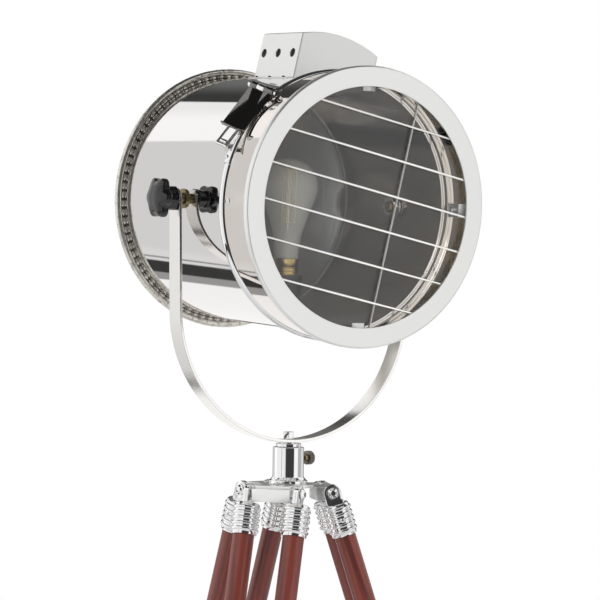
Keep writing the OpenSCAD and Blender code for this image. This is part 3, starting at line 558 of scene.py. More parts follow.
def skinned(rings, name):
    """Skin over rings of equally many points in mm, closed at both ends."""
    work = bmesh.new()
    made = [[work.verts.new(Vector(spot) * MM) for spot in ring] for ring in rings]
    for low, high in zip(made, made[1:]):
        for k in range(len(low)):
            work.faces.new((low[k], low[k - 1], high[k - 1], high[k]))
    work.faces.new(made[0])
    work.faces.new(made[-1])
    return to_mesh(work, name, 0.00001)


def prism(outline, low, high, name="prism"):
    """Outline of (x, y) points in mm raised from low to high."""
    return skinned([[(x, y, z) for x, y in outline] for z in (low, high)], name)


def arc(radius, start, end, steps, centre=(0.0, 0.0)):
    """Points of an arc, angles in radians."""
    turns = [start + (end - start) * k / steps for k in range(steps + 1)]
    return [(centre[0] + radius * math.cos(a), centre[1] + radius * math.sin(a)) for a in turns]


def joined(meshes, name):
    """Several meshes as one."""
    work = bmesh.new()
    for mesh in meshes:
        work.from_mesh(mesh)
    made = bpy.data.meshes.new(name)
    work.to_mesh(made)
    work.free()
    return made


def moved(mesh, place):
    """Copy of a mesh, moved."""
    copy = mesh.copy()
    copy.transform(place)
    return copy


def rods(places, radius, reach, sides=24):
    """Round cutting rods; places are matrices in metres with z along the rod."""
    stick = to_mesh(lathe([(0, -reach), (radius, -reach), (radius, reach), (0, reach)], sides), "rod")
    return joined([moved(stick, place) for place in places], "rods")


def no_repeats(profile):
    """The profile without points that lie on the one before."""
    pairs = zip(profile, profile[1:])
    return profile[:1] + [here for last, here in pairs if (Vector(here) - Vector(last)).length > 1e-4]


def finer(profile, longest):
    """The profile with long straight runs divided."""
    points = [profile[0]]
    for last, here in zip(profile, profile[1:]):
        parts = max(1, math.ceil(math.dist(last, here) / longest))
        points += [tuple(Vector(last).lerp(Vector(here), k / parts)) for k in range(1, parts + 1)]
    return points


def through(name, mesh, **values):
    """Runs a mesh through a Geometry Nodes tree with its named inputs set."""
    tree = geometry_tree(name)
    carrier = placed("carrier", mesh)
    modifier = carrier.modifiers.new(tree.name, "NODES")
    modifier.node_group = tree
    names = {item.name: item.identifier for item in tree.interface.items_tree if item.in_out == "INPUT"}
    for label, value in values.items():
        modifier[names[label.replace("_", " ").title()]] = value
    return baked(carrier)


def cut(mesh, tool):
    """Takes the tool's shape out of a mesh."""
    carriers = placed("stock", mesh), placed("tool", tool)
    boolean = carriers[0].modifiers.new("Recess", "BOOLEAN")
    boolean.operation = "DIFFERENCE"
    boolean.solver = "EXACT"
    boolean.object = carriers[1]
    result = baked(carriers[0])
    bpy.data.objects.remove(carriers[1])
    return result


# ---- Geometry Nodes trees ----
def set_round(tree, given):
    """Sets copies of the input round a circle; the input's z axis turns outward."""
    circle = node(tree, "GeometryNodeMeshCircle", {"Vertices": given["Count"], "Radius": given["Radius"]})
    share = calc(tree, "DIVIDE", node(tree, "GeometryNodeInputIndex").outputs[0], given["Count"])
    turn = times(tree, share, math.tau)
    turn = node(tree, "ShaderNodeCombineXYZ", {1: math.radians(90), 2: turn}).outputs[0]
    copies = node(tree, "GeometryNodeInstanceOnPoints",
                  {"Points": circle.outputs[0], "Instance": given["Geometry"], "Rotation": turn}).outputs[0]
    lift = node(tree, "ShaderNodeCombineXYZ", {2: given["Height"]}).outputs[0]
    return node(tree, "GeometryNodeTransform", {0: copies, "Translation": lift}).outputs[0]


def set_at_places(tree, given):
    """Sets copies of the Item object on the input's points, with z along their aim attribute."""
    item = node(tree, "GeometryNodeObjectInfo", {"Object": given["Item"]}).outputs["Geometry"]
    aim = node(tree, "GeometryNodeInputNamedAttribute", {"Name": "aim"}, data_type="FLOAT_VECTOR")
    turn = node(tree, "FunctionNodeAlignRotationToVector", {"Vector": aim.outputs[0]}, axis="Z").outputs[0]
    return node(tree, "GeometryNodeInstanceOnPoints",
                {"Points": given["Geometry"], "Instance": item, "Rotation": turn}).outputs[0]


def polar(tree):
    """Coordinates of a point, its radius round z and its angle."""
    x, y, z = node(tree, "ShaderNodeSeparateXYZ",
                   {0: node(tree, "GeometryNodeInputPosition").outputs[0]}).outputs
    return (x, y, z), distance(tree, x, y), calc(tree, "ARCTAN2", y, x)


def scaled_round(tree, geometry, parts, factor):
    """Moves points towards or away from the z axis by a factor."""
    x, y, z = parts
    spot = node(tree, "ShaderNodeCombineXYZ",
                {0: times(tree, x, factor), 1: times(tree, y, factor), 2: z}).outputs[0]
    return node(tree, "GeometryNodeSetPosition", {"Geometry": geometry, "Position": spot}).outputs[0]


def press_lobes(tree, given):
    """Presses finger hollows into the edge of a turned knob."""
    parts, radius, angle = polar(tree)
    wave = calc(tree, "COSINE", times(tree, angle, given["Lobes"]))
    hollow = calc(tree, "POWER", minus(tree, 0.5, times(tree, wave, 0.5)), 1.15)
    reach = step(tree, radius, times(tree, given["Hub Radius"], 0.72), given["Knob Radius"], "LINEAR")
    press = times(tree, times(tree, hollow, reach), given["Depth"])
    return scaled_round(tree, given["Geometry"], parts, minus(tree, 1.0, press))


def cut_thread(tree, given):
    """Cuts a helical thread into a sleeve."""
    parts, radius, angle = polar(tree)
    climb = calc(tree, "DIVIDE", parts[2], given["Pitch"])
    turns = minus(tree, climb, calc(tree, "DIVIDE", angle, math.tau))
    groove = times(tree, times(tree, calc(tree, "PINGPONG", turns, 0.5), 2.0), given["Depth"])
    outer = calc(tree, "GREATER_THAN", radius, given["Core Radius"])
    return scaled_round(tree, given["Geometry"], parts, minus(tree, 1.0, times(tree, groove, outer)))


def press_dents(tree, given):
    """Presses small random dents into a surface."""
    spot = node(tree, "GeometryNodeInputPosition").outputs[0]
    cells = node(tree, "ShaderNodeTexVoronoi", {"Vector": spot, "Scale": given["Scale"]},
                 feature="SMOOTH_F1").outputs[0]
    push = times(tree, minus(tree, step(tree, cells, 0.1, 0.6), 1.0), given["Depth"])
    offset = node(tree, "ShaderNodeVectorMath",
                  {0: node(tree, "GeometryNodeInputNormal").outputs[0], "Scale": push}, operation="SCALE")
    return node(tree, "GeometryNodeSetPosition",
                {"Geometry": given["Geometry"], "Offset": offset.outputs[0]}).outputs[0]


GEOMETRY = {"Geometry": ("Geometry", None)}
TREES = {
    "Set round a circle": (set_round, {"Count": ("Int", 4), "Radius": ("Float", 0.1),
                                       "Height": ("Float", 0.0)}),
    "Set at marked places": (set_at_places, {"Item": ("Object", None)}),
    "Knob lobes": (press_lobes, {"Lobes": ("Int", 6), "Depth": ("Float", 0.2), "Hub Radius": ("Float", 0.013),
                                 "Knob Radius": ("Float", 0.0215)}),
    "Screw thread": (cut_thread, {"Pitch": ("Float", 0.00125), "Depth": ("Float", 0.12),
                                  "Core Radius": ("Float", 0.0055)}),
    "Hammer dents": (press_dents, {"Depth": ("Float", 0.0005), "Scale": ("Float", 300.0)}),
}


def geometry_tree(name):
    """Tree of TREES; it ends in Realize Instances and Set Material."""
    if name in bpy.data.node_groups:
        return bpy.data.node_groups[name]
    build, inputs = TREES[name]
    sockets = {**GEOMETRY, **inputs, "Material": ("Material", None)}
    tree, start, end = new_tree(name, "GeometryNodeTree", sockets, GEOMETRY)
    real = node(tree, "GeometryNodeRealizeInstances", {0: build(tree, start.outputs)}).outputs[0]
    done = node(tree, "GeometryNodeSetMaterial", {"Geometry": real, "Material": start.outputs["Material"]})
    tree.links.new(done.outputs[0], end.inputs[0])
    return tree


def screw_item(radius, height, recess, depth, shank=None):
    """Domed screw head along z with a cross or hexagon recess, and a shank under it: (radius, length)."""
    ball = (radius * radius + height * height) / (2 * height)
    edge = 0.28 * height
    rise = math.asin(min(1.0, radius / ball))
    dome = [(ball * math.sin(turn), height - ball + ball * math.cos(turn))
            for turn in (rise * k / 8 for k in range(9))]
    dome = [(r, z) for r, z in dome if z > edge] + [(radius * 0.995, edge), (radius, edge * 0.4)]
    foot = [(radius * 0.97, 0.0)]
    foot += [(shank[0], 0.0), (shank[0], -shank[1]), (0.0, -shank[1])] if shank else [(0.0, 0.0)]
    head = to_mesh(lathe(dome + foot, 32), "screw_head")
    if recess == "hexagon":
        low, high, side = height - depth, height + 2, radius * 0.5
        tool = [(0, low), (side, low), (side, high), (0, high)]
        return cut(head, to_mesh(lathe(tool, 6), "hexagon"))
    half, thin = radius * 0.575, radius * 0.13
    for wide, deep in ((half, thin), (thin, half)):
        outline = [(-wide, -deep), (wide, -deep), (wide, deep), (-wide, deep)]
        head = cut(head, prism(outline, height - depth, height + 1))
    return head


def at_places(name, item, spots, body, material, replaced=()):
    """Fasteners of one kind on one body; spots are (place, direction) in the row frame."""
    mesh = bpy.data.meshes.new(f"{name}_spots")
    mesh.from_pydata([tuple(place) for place, _ in spots], [], [])
    aim = mesh.attributes.new("aim", "FLOAT_VECTOR", "POINT")
    for k, (_, direction) in enumerate(spots):
        aim.data[k].vector = Vector(direction).normalized()
    carrier = placed(f"{name}_item", item)
    made = through("Set at marked places", mesh, item=carrier, material=material)
    bpy.data.objects.remove(carrier)
    return piece(name, made, body, material, replaced)


# ---- what a user may change ----
def colour(name, text, value):
    """Colour property from an sRGB value of 0 to 255."""
    linear = tuple(((c / 255 + 0.055) / 1.055) ** 2.4 if c > 10 else c / 255 / 12.92 for c in value)
    return FloatVectorProperty(name=name, description=text, default=linear, subtype="COLOR", size=3,
                               min=0.0, max=1.0)


def amount(name, text, value, **limits):
    """Number property with its limits or unit."""
    return FloatProperty(name=name, description=text, default=value, **limits)


class LampTones(bpy.types.PropertyGroup):
    """Colours of the lamp's finishes."""

    polished: colour("Polished sheet", "Drum and bezel skirt", (238, 236, 234))
    skirt: colour("Bezel skirt", "Warm polished skirt", (234, 227, 221))
    satin: colour("Satin metal", "Front ring and vent box", (246, 246, 243))
    chrome: colour("Chrome", "Castings, post and fasteners", (236, 236, 237))
    # Latch lever: darker than the chrome as a painted dark reflection.
    lever: colour("Latch lever", "Lever with a painted dark reflection", (112, 110, 108))
    yoke: colour("Yoke", "Brushed flat bar", (244, 242, 238))
    white_nickel: colour("White nickel", "Plate and hinge blocks", (244, 244, 243))
    wire: colour("Guard wire", "Bright wire", (246, 240, 228))
    nickel: colour("Antique nickel", "Rear rim", (226, 222, 215))
    grime: colour("Darkened hollows", "Dark in the rim's hollows", (58, 52, 46))
    # Painted shade in the rim's groove between the beads; also the thumbscrew's grey.
    groove: colour("Rim groove", "Painted shade between the beads", (112, 106, 99))
    # Drum inside: darker as painted shade; its tint paints warm reflections.
    inside: colour("Drum inside", "Inner face of the drum, darker as painted shade", (154, 150, 144))
    inside_painted_warm_reflection: colour("Inside tint", "Painted warm reflections on the inner face", (138, 124, 102))
    # Reflector: grey as painted shade inside the drum; its tint paints warm reflections.
    dish: colour("Reflector", "Spun dish behind the bulb, grey as painted shade", (148, 148, 148))
    dish_painted_warm_reflection: colour("Reflector tint", "Painted warm reflections on the dish", (162, 144, 112))
    brass: colour("Brass", "Bright brass", (196, 172, 112))
    dark_brass: colour("Dark brass", "Darkened threads", (84, 76, 46))
    knob: colour("Knob", "Black moulded knob", (16, 16, 17))
    knob_scuff: colour("Scuffs", "Scuffs on black plastic", (44, 44, 46))
    holder: colour("Lampholder", "Dark moulded lampholder", (30, 28, 26))
    rubber: colour("Rubber", "Leg tips", (24, 24, 24))
    rubber_dust: colour("Rubber dust", "Dust on the tips", (58, 56, 53))
    filament: colour("Filament", "Amber filament strips", (232, 196, 120))
    wood: colour("Mahogany", "Varnished poles", (128, 50, 36))
    wood_dark: colour("Mahogany grain", "Late wood and pores", (66, 22, 17))


class LampRim(bpy.types.PropertyGroup):
    """Sizes of the rear rim, the knobs and the studs' thread."""

    beads: IntProperty(name="Beads", description="Small beads round the rim", default=88, min=60, max=160)
    bead_size: amount("Bead", "Thickness of a small bead", 3.4 * MM, unit="LENGTH")
    dent_depth: amount("Dents", "Depth of the hammer dents", 0.15 * MM, unit="LENGTH")
    lobes: IntProperty(name="Lobes", description="Lobes of a tilt knob", default=6, min=4, max=9)
    lobe_depth: amount("Lobe depth", "Share of the radius pressed in", 0.21, min=0.0, max=0.5)
    thread_pitch: amount("Thread", "Pitch of the stud's thread", 1.5 * MM, unit="LENGTH")


class LampStage(bpy.types.PropertyGroup):
    """Floor, light and camera."""

    floor_radius: amount("Floor", "Radius of the pale floor", 2.0, unit="LENGTH")
    soft_light: amount("Soft light", "Strength of the even light", 0.74, min=0.0)
    key_power: amount("Key light", "Power of the large soft lamp", 34.0, unit="POWER")
    fill_power: amount("Fill light", "Power of the second lamp", 12.0, unit="POWER")
    lens: amount("Lens", "Focal length in mm", 156.0, min=20.0, max=300.0)


# ---- operators ----
class PieceOperator:
    """Options of every operator here."""

    bl_options = {"REGISTER", "UNDO"}


class LAMP_OT_rear_rim(PieceOperator, bpy.types.Operator):
    """Rear rim: turned body, hammered outer bead and a row of small beads"""

    bl_idname = "lamp.rear_rim"
    bl_label = "Rear rim"

    def execute(self, context):
        size = context.scene.lamp_rim
        nickel = materials()["nickel"]
        body = [(123.2, 1.2), (135.4, 1.2), (135.4, 6.0), (129.1, 6.4), (129.1, 5.7), (123.2, 5.7)]
        body = [(r, REAR_Z + z) for r, z in body]
        mesh = to_mesh(lathe(eased(body, 0.5, 2, True), 240, True), "rim_body")
        # The rim body under the beads is darker grey as painted shade in the groove.
        piece("rear_rim_body", mesh, "lamp_head", materials()["groove"], ("rear_rim",), HEAD)
        bead = arc(3.5, 0.0, math.tau * 19 / 20, 19, (135.2, REAR_Z + 4.5))
        mesh = to_mesh(lathe(bead, 720, True), "rim_bead")
        mesh = through("Hammer dents", mesh, depth=size.dent_depth, scale=190.0, material=nickel)
        piece("rear_rim_hammered_bead", mesh, "lamp_head", nickel, place=HEAD, smooth=0)
        half = size.bead_size / 2 / MM
        grain = arc(half, -math.pi / 2, math.pi / 2, 8)
        grain[0], grain[-1] = (0, -half), (0, half)
        item = to_mesh(lathe(grain, 14), "bead")
        item.transform(Matrix.Diagonal((1.0, 2.3, 1.0, 1.0)))
        mesh = through("Set round a circle", item, count=size.beads, radius=130.6 * MM,
                       height=(REAR_Z + 6.0) * MM, material=nickel)
        piece("rear_rim_small_beads", mesh, "lamp_head", nickel, place=HEAD)
        return {"FINISHED"}


class LAMP_OT_shell(PieceOperator, bpy.types.Operator):
    """Drum, rear cover, reflector, band, vent box and the parts on them"""

    bl_idname = "lamp.shell"
    bl_label = "Head shell"

    def execute(self, context):
        made = materials()
        self.drum(made)
        self.cover(made)
        self.band(made)
        self.vent(made)
        plain = {"head_fasteners": ("fasteners", 0.0), "holder_stand": ("satin_sheet", 0.4),
                 "lampholder": ("holder", 0.5), "bulb_cap": ("brass", 0.0), "cord_gland": ("gland", 0.4),
                 "trunnion_nuts": ("fasteners", 0.4)}
        for name, (tone, width) in plain.items():
            finished(name, "lamp_head", made[tone], width)
        return {"FINISHED"}

    def drum(self, made):
        """Polished drum with its flange and the vent mouth under the box."""
        inner, lip = DRUM_R - SHEET, SEAM_Z - SHEET
        profile = finer([(inner, COVER_Z), (DRUM_R, COVER_Z), (DRUM_R, lip), (FLANGE_R, lip),
                         (FLANGE_R, SEAM_Z), (inner, SEAM_Z)], 9.0)
        mesh = to_mesh(lathe(profile, 288, True), "drum")
        mouth = prism([(VENT_CENTRE - 28, 100), (VENT_CENTRE + 28, 100), (VENT_CENTRE + 28, 150),
                       (VENT_CENTRE - 28, 150)], VENT_BACK + 13, VENT_BACK + 63)
        mouth.transform(HEAD.inverted() @ BARREL)
        mesh = cut(mesh, mouth)
        drum = piece("drum_polished", mesh, "lamp_head", made["polished"], ("drum_shell",), HEAD)
        # The inner faces get the darker material: painted shade inside the drum.
        two_toned(drum, made["inside"], lambda spot: off_axis(HEAD, spot) < (DRUM_R - SHEET / 2) * MM)

    def cover(self, made):
        """Pressed rear cover with its vent holes, and the spun dish in front of it."""
        low = COVER_Z - SHEET
        profile = eased([(0, low - 9), (58, low - 9), (58, low), (128.9, low), (128.9, COVER_Z),
                         (56.8, COVER_Z), (56.8, COVER_Z - 9), (0, COVER_Z - 9)], 1.0, 3)
        spots = [(88, 15 * k) for k in range(24) if k != 18] + [(36, 30 * k) for k in range(12)]
        places = [Matrix.Rotation(math.radians(a), 4, "Z") @ Matrix.Translation((r * MM, 0, low * MM))
                  for r, a in spots]
        mesh = cut(to_mesh(lathe(profile, 192), "cover"), rods(places, 3.0, 20.0))
        gland = [Matrix.Translation((0, -GLAND_DOWN * MM, low * MM))]
        mesh = cut(mesh, rods(gland, 6.0, 20.0))
        piece("rear_cover_pressed", mesh, "lamp_head", made["rear_sheet"], ("rear_cover",), HEAD)
        dish, ball, back = [], 410.0, COVER_Z + 7
        for k in range(25):
            r = 127.0 * k / 24
            dish.append((r, back + ball - math.sqrt((ball - 0.8) ** 2 - r * r)))
        dish += [(126.9, back + 23.9), (127.7, back + 23.9)]
        dish += [(r + (0.7 if k == 0 else 0.0), z - 0.75) for k, (r, z) in enumerate(reversed(dish[:25]))]
        mesh = cut(to_mesh(lathe(dish, 192), "dish"), rods(gland, 6.0, 60.0))
        # The dish's grey material is painted shade inside the drum.
        piece("back_reflector_spun", mesh, "lamp_head", made["dish"], ("back_reflector",), HEAD)

    def band(self, made):
        """Half-round band, split under the latch."""
        middle = (132.8, SEAM_Z + 1)
        bead = arc(4.5, math.acos(1.5 / 4.5), -math.acos(0.5 / 4.5), 16, middle)
        bead += [(131.0, SEAM_Z - 3.4), (131.0, SEAM_Z - 1.3), (134.3, SEAM_Z - 1.3)]
        split = prism([(120, -7), (150, -7), (150, 7), (120, 7)], SEAM_Z - 10, SEAM_Z + 10)
        split.transform(Matrix.Rotation(LATCH_ANGLE, 4, "Z"))
        mesh = cut(to_mesh(lathe(bead, 288, True), "band"), split)
        piece("clamp_band_half_round", mesh, "lamp_head", made["chrome"], ("clamp_band",), HEAD)

    def vent(self, made):
        """Arched sheet box with three holes in each side and a foot along each side."""
        shells = []
        for inset, low in ((0.0, 104.0), (SHEET, 90.0)):
            left, right = VENT_LEFT + inset, VENT_LEFT + VENT_WIDTH - inset
            ball, centre = VENT_BALL - inset, (VENT_CENTRE, VENT_TOP - VENT_BALL)
            reach = math.asin((right - VENT_CENTRE) / ball)
            roof = arc(ball, math.pi / 2 + reach, math.pi / 2 - reach, 32, centre)
            outline = [(left, low), *roof, (right, low)]
            shells.append(prism(outline, VENT_BACK + inset, VENT_BACK + VENT_LENGTH - inset))
        box = rounded(shells[0], 1.1, 3)
        box = cut(box, shells[1])
        box = cut(box, to_mesh(lathe([(0, -90), (DRUM_R, -90), (DRUM_R, 40), (0, 40)], 288), "inside"))
        places = [Matrix.Translation((VENT_CENTRE * MM, 150 * MM, (VENT_BACK + 9.3 + 28.2 * k) * MM))
                  @ Matrix.Rotation(math.radians(90), 4, "Y") for k in range(3)]
        box = cut(box, rods(places, 4.75, 80.0, 32))
        feet, far = [], VENT_LEFT + VENT_WIDTH
        for x_low, x_high in ((VENT_LEFT - 8, VENT_LEFT + 2), (far - 2, far + 8)):
            ends = math.acos(x_low / 130.0), math.acos(x_high / 130.0)
            outline = arc(130.0, *ends, 8) + arc(129.02, *reversed(ends), 8)
            foot = prism(outline, VENT_BACK + 0.2, VENT_BACK + VENT_LENGTH - 0.2)
            feet.append(rounded(foot, 0.25, 2, 50))
        box = joined([box, *feet], "vent_box")
        piece("vent_box_folded", box, "lamp_head", made["satin_sheet"], ("vent_box",), BARREL, 32)


class LAMP_OT_bulb(PieceOperator, bpy.types.Operator):
    """Blown bulb with its stem and filament"""

    bl_idname = "lamp.bulb"
    bl_label = "Bulb"

    def execute(self, context):
        made = materials()
        outer = [(12.6, -58.0), (12.8, -50.0), (13.5, -42.0), (15.4, -32.0), (18.8, -20.0), (23.0, -8.0),
                 (27.0, 3.0), (29.4, 10.0)]
        outer += arc(30.0, 0.0, math.pi / 2, 9, (0.0, 16.0))
        inner = [(max(0.0, r - 0.9), z - (0.9 if z > 30 else 0.0)) for r, z in outer]
        outer[-1], inner[-1] = (0.0, 46.0), (0.0, 45.1)
        inner[0] = (11.7, -57.0)
        shell = eased(outer, 6.0, 4) + eased(inner, 6.0, 4)[::-1]
        shell = no_repeats(shell + [(0.0, -57.0), (0.0, -58.0), (12.6, -58.0)])
        body = to_mesh(lathe(shell, 72), "bulb_glass", 0.000002)
        piece("bulb_glass_blown", body, "lamp_head", made["bulb"], ("bulb_glass",), BULB)
        stem = [(0.0, -57.0), (8.6, -57.0), (7.6, -55.0), (5.2, -48.0), (4.4, -40.0), (3.0, -31.0),
                (1.5, -26.5), (0.0, -26.0)]
        stem = to_mesh(lathe(eased(stem, 2.0, 3), 40), "bulb_stem")
        piece("bulb_stem", stem, "lamp_head", made["bulb"], (), BULB)
        strips = finished("bulb_filament", "lamp_head", made["filament"], 0.0)
        two_toned(strips, made["wire"], lambda spot: off_axis(BULB, spot) < FILAMENT_CORE * MM)
        return {"FINISHED"}


class LAMP_OT_trunnions(PieceOperator, bpy.types.Operator):
    """Threaded studs and lobed tilt knobs on both sides of the head"""

    bl_idname = "lamp.trunnions"
    bl_label = "Studs and knobs"

    def execute(self, context):
        made, size = materials(), context.scene.lamp_rim
        rows = 200
        thread = [(6.0, 117.4 + (ARM_OUT + 17.2 - 117.4) * k / rows) for k in range(rows + 1)]
        stud = [(0.0, 117.0), (5.2, 117.0)] + thread
        mesh = to_mesh(lathe(stud + [(5.2, ARM_OUT + 17.9), (0.0, ARM_OUT + 17.9)], 40), "stud")
        mesh = through("Screw thread", mesh, pitch=size.thread_pitch, depth=0.11, core_radius=5.6 * MM,
                       material=made["dark_brass"])
        flange = to_mesh(lathe(eased([(0, 128.2), (10, 128.2), (10, 131), (0, 131)], 0.6, 2), 64), "flange")
        both = [moved(part, trunnion_frame(side)) for side in (-1, 1) for part in (mesh, flange)]
        both = joined(both, "studs")
        piece("trunnion_studs_threaded", both, "lamp_head", made["dark_brass"], ("trunnion_studs",))
        dome = [(r, -10.0 + math.sqrt(36.0 ** 2 - r ** 2)) for r in (20.9 * (1 - k / 12) for k in range(13))]
        face = [(r, z - 0.1) for r, z in dome]
        knob = [(0, 20.6), (6.3, 20.6), (6.3, 0), (12.9, 0), (12.5, 10.6), (13.6, 11.9), (20.6, 12.6),
                (21.5, 14.0), (21.5, 18.0)]
        knob = finer(no_repeats(eased(knob + face[:1], 0.8, 4) + face[1:]), 1.2)
        knob_mesh = to_mesh(lathe([(r, z + ARM_OUT + 0.6) for r, z in knob], 144), "knob")
        for side, name in ((-1, "left"), (1, "right")):
            mesh = through("Knob lobes", knob_mesh.copy(), lobes=size.lobes, depth=size.lobe_depth,
                           hub_radius=13 * MM, knob_radius=21.5 * MM, material=made["knob"])
            piece(f"{name}_knob_lobed", mesh, f"{name}_knob", made["knob"], (f"tilt_knob_{name}",),
                  trunnion_frame(side), 50)
        return {"FINISHED"}


class LAMP_OT_latch(PieceOperator, bpy.types.Operator):
    """Over-centre latch: bracket, hook, lever plate and wire bail"""

    bl_idname = "lamp.latch"
    bl_label = "Latch"

    def execute(self, context):
        made = materials()
        # The lever takes the darker tone, a painted dark reflection.
        parts = {"latch_bracket": ("latch", "lamp_head", 0.3), "latch_hook": ("latch", "lamp_head", 0.3),
                 "latch_lever": ("lever", "latch_handle", 0.35), "latch_bail": ("wire", "latch_loop", 0.0)}
        for name, (tone, body, width) in parts.items():
            finished(name, body, made[tone], width)
        return {"FINISHED"}


class LAMP_OT_bezel(PieceOperator, bpy.types.Operator):
    """Bezel skirt, front ring, wire guard, glass, clips and screws"""

    bl_idname = "lamp.bezel"
    bl_label = "Bezel"

    def execute(self, context):
        made = materials()
        front, back = FRONT_Z, FRONT_Z - 1.8
        ring = [(119.5, front), (119.5, back), (135.9, back), (135.9, back - 4), (139.9, back - 4),
                (139.95, front - 1.7), (138.5, front)]
        mesh = to_mesh(lathe(eased(ring, 0.45, 3, True), 288, True), "front_ring")
        piece("front_ring_finished", mesh, "bezel", made["satin_ring"], ("front_ring",), HEAD)
        inner, neck = SKIRT_R - SHEET, 131.0
        step_z, top = SEAM_Z + 6.8, FRONT_Z - 2
        skirt = eased([(SKIRT_R, top), (SKIRT_R, step_z), (neck, step_z), (neck, SEAM_Z + 1.4),
                       (FLANGE_R, SEAM_Z + 1.4), (FLANGE_R, SEAM_Z + 0.2), (neck - SHEET, SEAM_Z + 0.2),
                       (neck - SHEET, step_z + SHEET), (inner, step_z + SHEET), (inner, top)], 0.8, 4, True)
        mesh = to_mesh(lathe(skirt, 288, True), "skirt")
        piece("bezel_skirt_spun", mesh, "bezel", made["skirt"], ("bezel_skirt",), HEAD)
        for name, tone, width in (("wire_guard", "wire", 0.0), ("glass_clips", "satin_sheet", 0.2)):
            finished(name, "bezel", made[tone], width)
        low, high = glass_faces()
        pane = [(0, low), (126.6, low), (126.6, high), (0, high)]
        mesh = to_mesh(lathe(eased(pane, 0.4, 2), 192), "front_glass")
        piece("front_glass_pane", mesh, "bezel", made["glass"], ("front_glass",), HEAD)
        item = screw_item(3.4, 2.0, "cross", 1.0, (1.6, 5.0))
        mesh = through("Set round a circle", item, count=4, radius=SKIRT_R * MM, height=(SEAM_Z + 12.5) * MM,
                       material=made["fasteners"])
        piece("bezel_screws_cross", mesh, "bezel", made["fasteners"], ("bezel_screws",), HEAD)
        return {"FINISHED"}


def glass_faces():
    """Back and front of the glass along the lamp's axis, in mm."""
    heights = [(HEAD.inverted() @ v.co).z / MM for v in NODES["front_glass"].data.vertices]
    return min(heights), max(heights)


class LAMP_OT_yoke(PieceOperator, bpy.types.Operator):
    """Yoke, its nut and the swivel spigot"""

    bl_idname = "lamp.yoke"
    bl_label = "Yoke and swivel"

    def execute(self, context):
        made = materials()
        place = Matrix.Translation(PIVOT)
        piece("yoke_bent_bar", self.bar(), "yoke_frame", made["yoke"], ("yoke",), place, 50)
        finished("yoke_nut", "yoke_frame", made["chrome"], 0.4)
        spigot = [(0, 10.75), (2.9, 10.75), (3.5, 10.1), (3.5, 0), (9, 0), (9, -1), (12.5, -1), (13, -1.6),
                  (13, -4.4), (10, -4.5), (10, -14), (9.2, -14.6), (9.2, -19.4), (10, -20), (10, -35.2),
                  (9.2, -36), (0, -36)]
        mesh = to_mesh(lathe(eased(spigot, 0.25, 2), 96), "spigot")
        piece("swivel_spigot_turned", mesh, "yoke_frame", made["chrome"], ("swivel_spigot",), STAND)
        return {"FINISHED"}

    def bar(self):
        """Flat bar bent to a half circle, with straight leaning arms and round ends."""
        middle = YOKE_R - BAR / 2
        arm = (ARC_DROP + middle * math.sin(SPREAD)) / math.cos(SPREAD)
        right = []
        turns = 60
        for k in range(turns + 1):
            angle = -math.pi / 2 + (math.pi / 2 - SPREAD) * k / turns
            out = (math.cos(angle), math.sin(angle))
            right.append(((middle * out[0], middle * out[1]), out, BAR_HALF))
        foot, out = right[-1][0], right[-1][1]
        along = (-out[1], out[0])
        ends = [BAR_HALF * math.sin(math.radians(90 * k / 14)) for k in range(15)]
        for reach in [arm * k / 6 for k in range(1, 6)] + [arm + e for e in ends]:
            half = math.sqrt(max(0.2, BAR_HALF ** 2 - max(0.0, reach - arm) ** 2))
            right.append(((foot[0] + along[0] * reach, foot[1] + along[1] * reach), out, half))
        left = [((-spot[0], spot[1]), (-out[0], out[1]), half) for spot, out, half in right[1:]]
        rings = []
        for spot, out, half in [*reversed(left), *right]:
            thick = BAR / 2
            section = eased([(-thick, -half), (thick, -half), (thick, half), (-thick, half)], 0.45, 3, True)
            rings.append([(spot[0] + out[0] * n, y, spot[1] - ARC_DROP + out[1] * n) for n, y in section])
        return skinned(rings, "yoke")


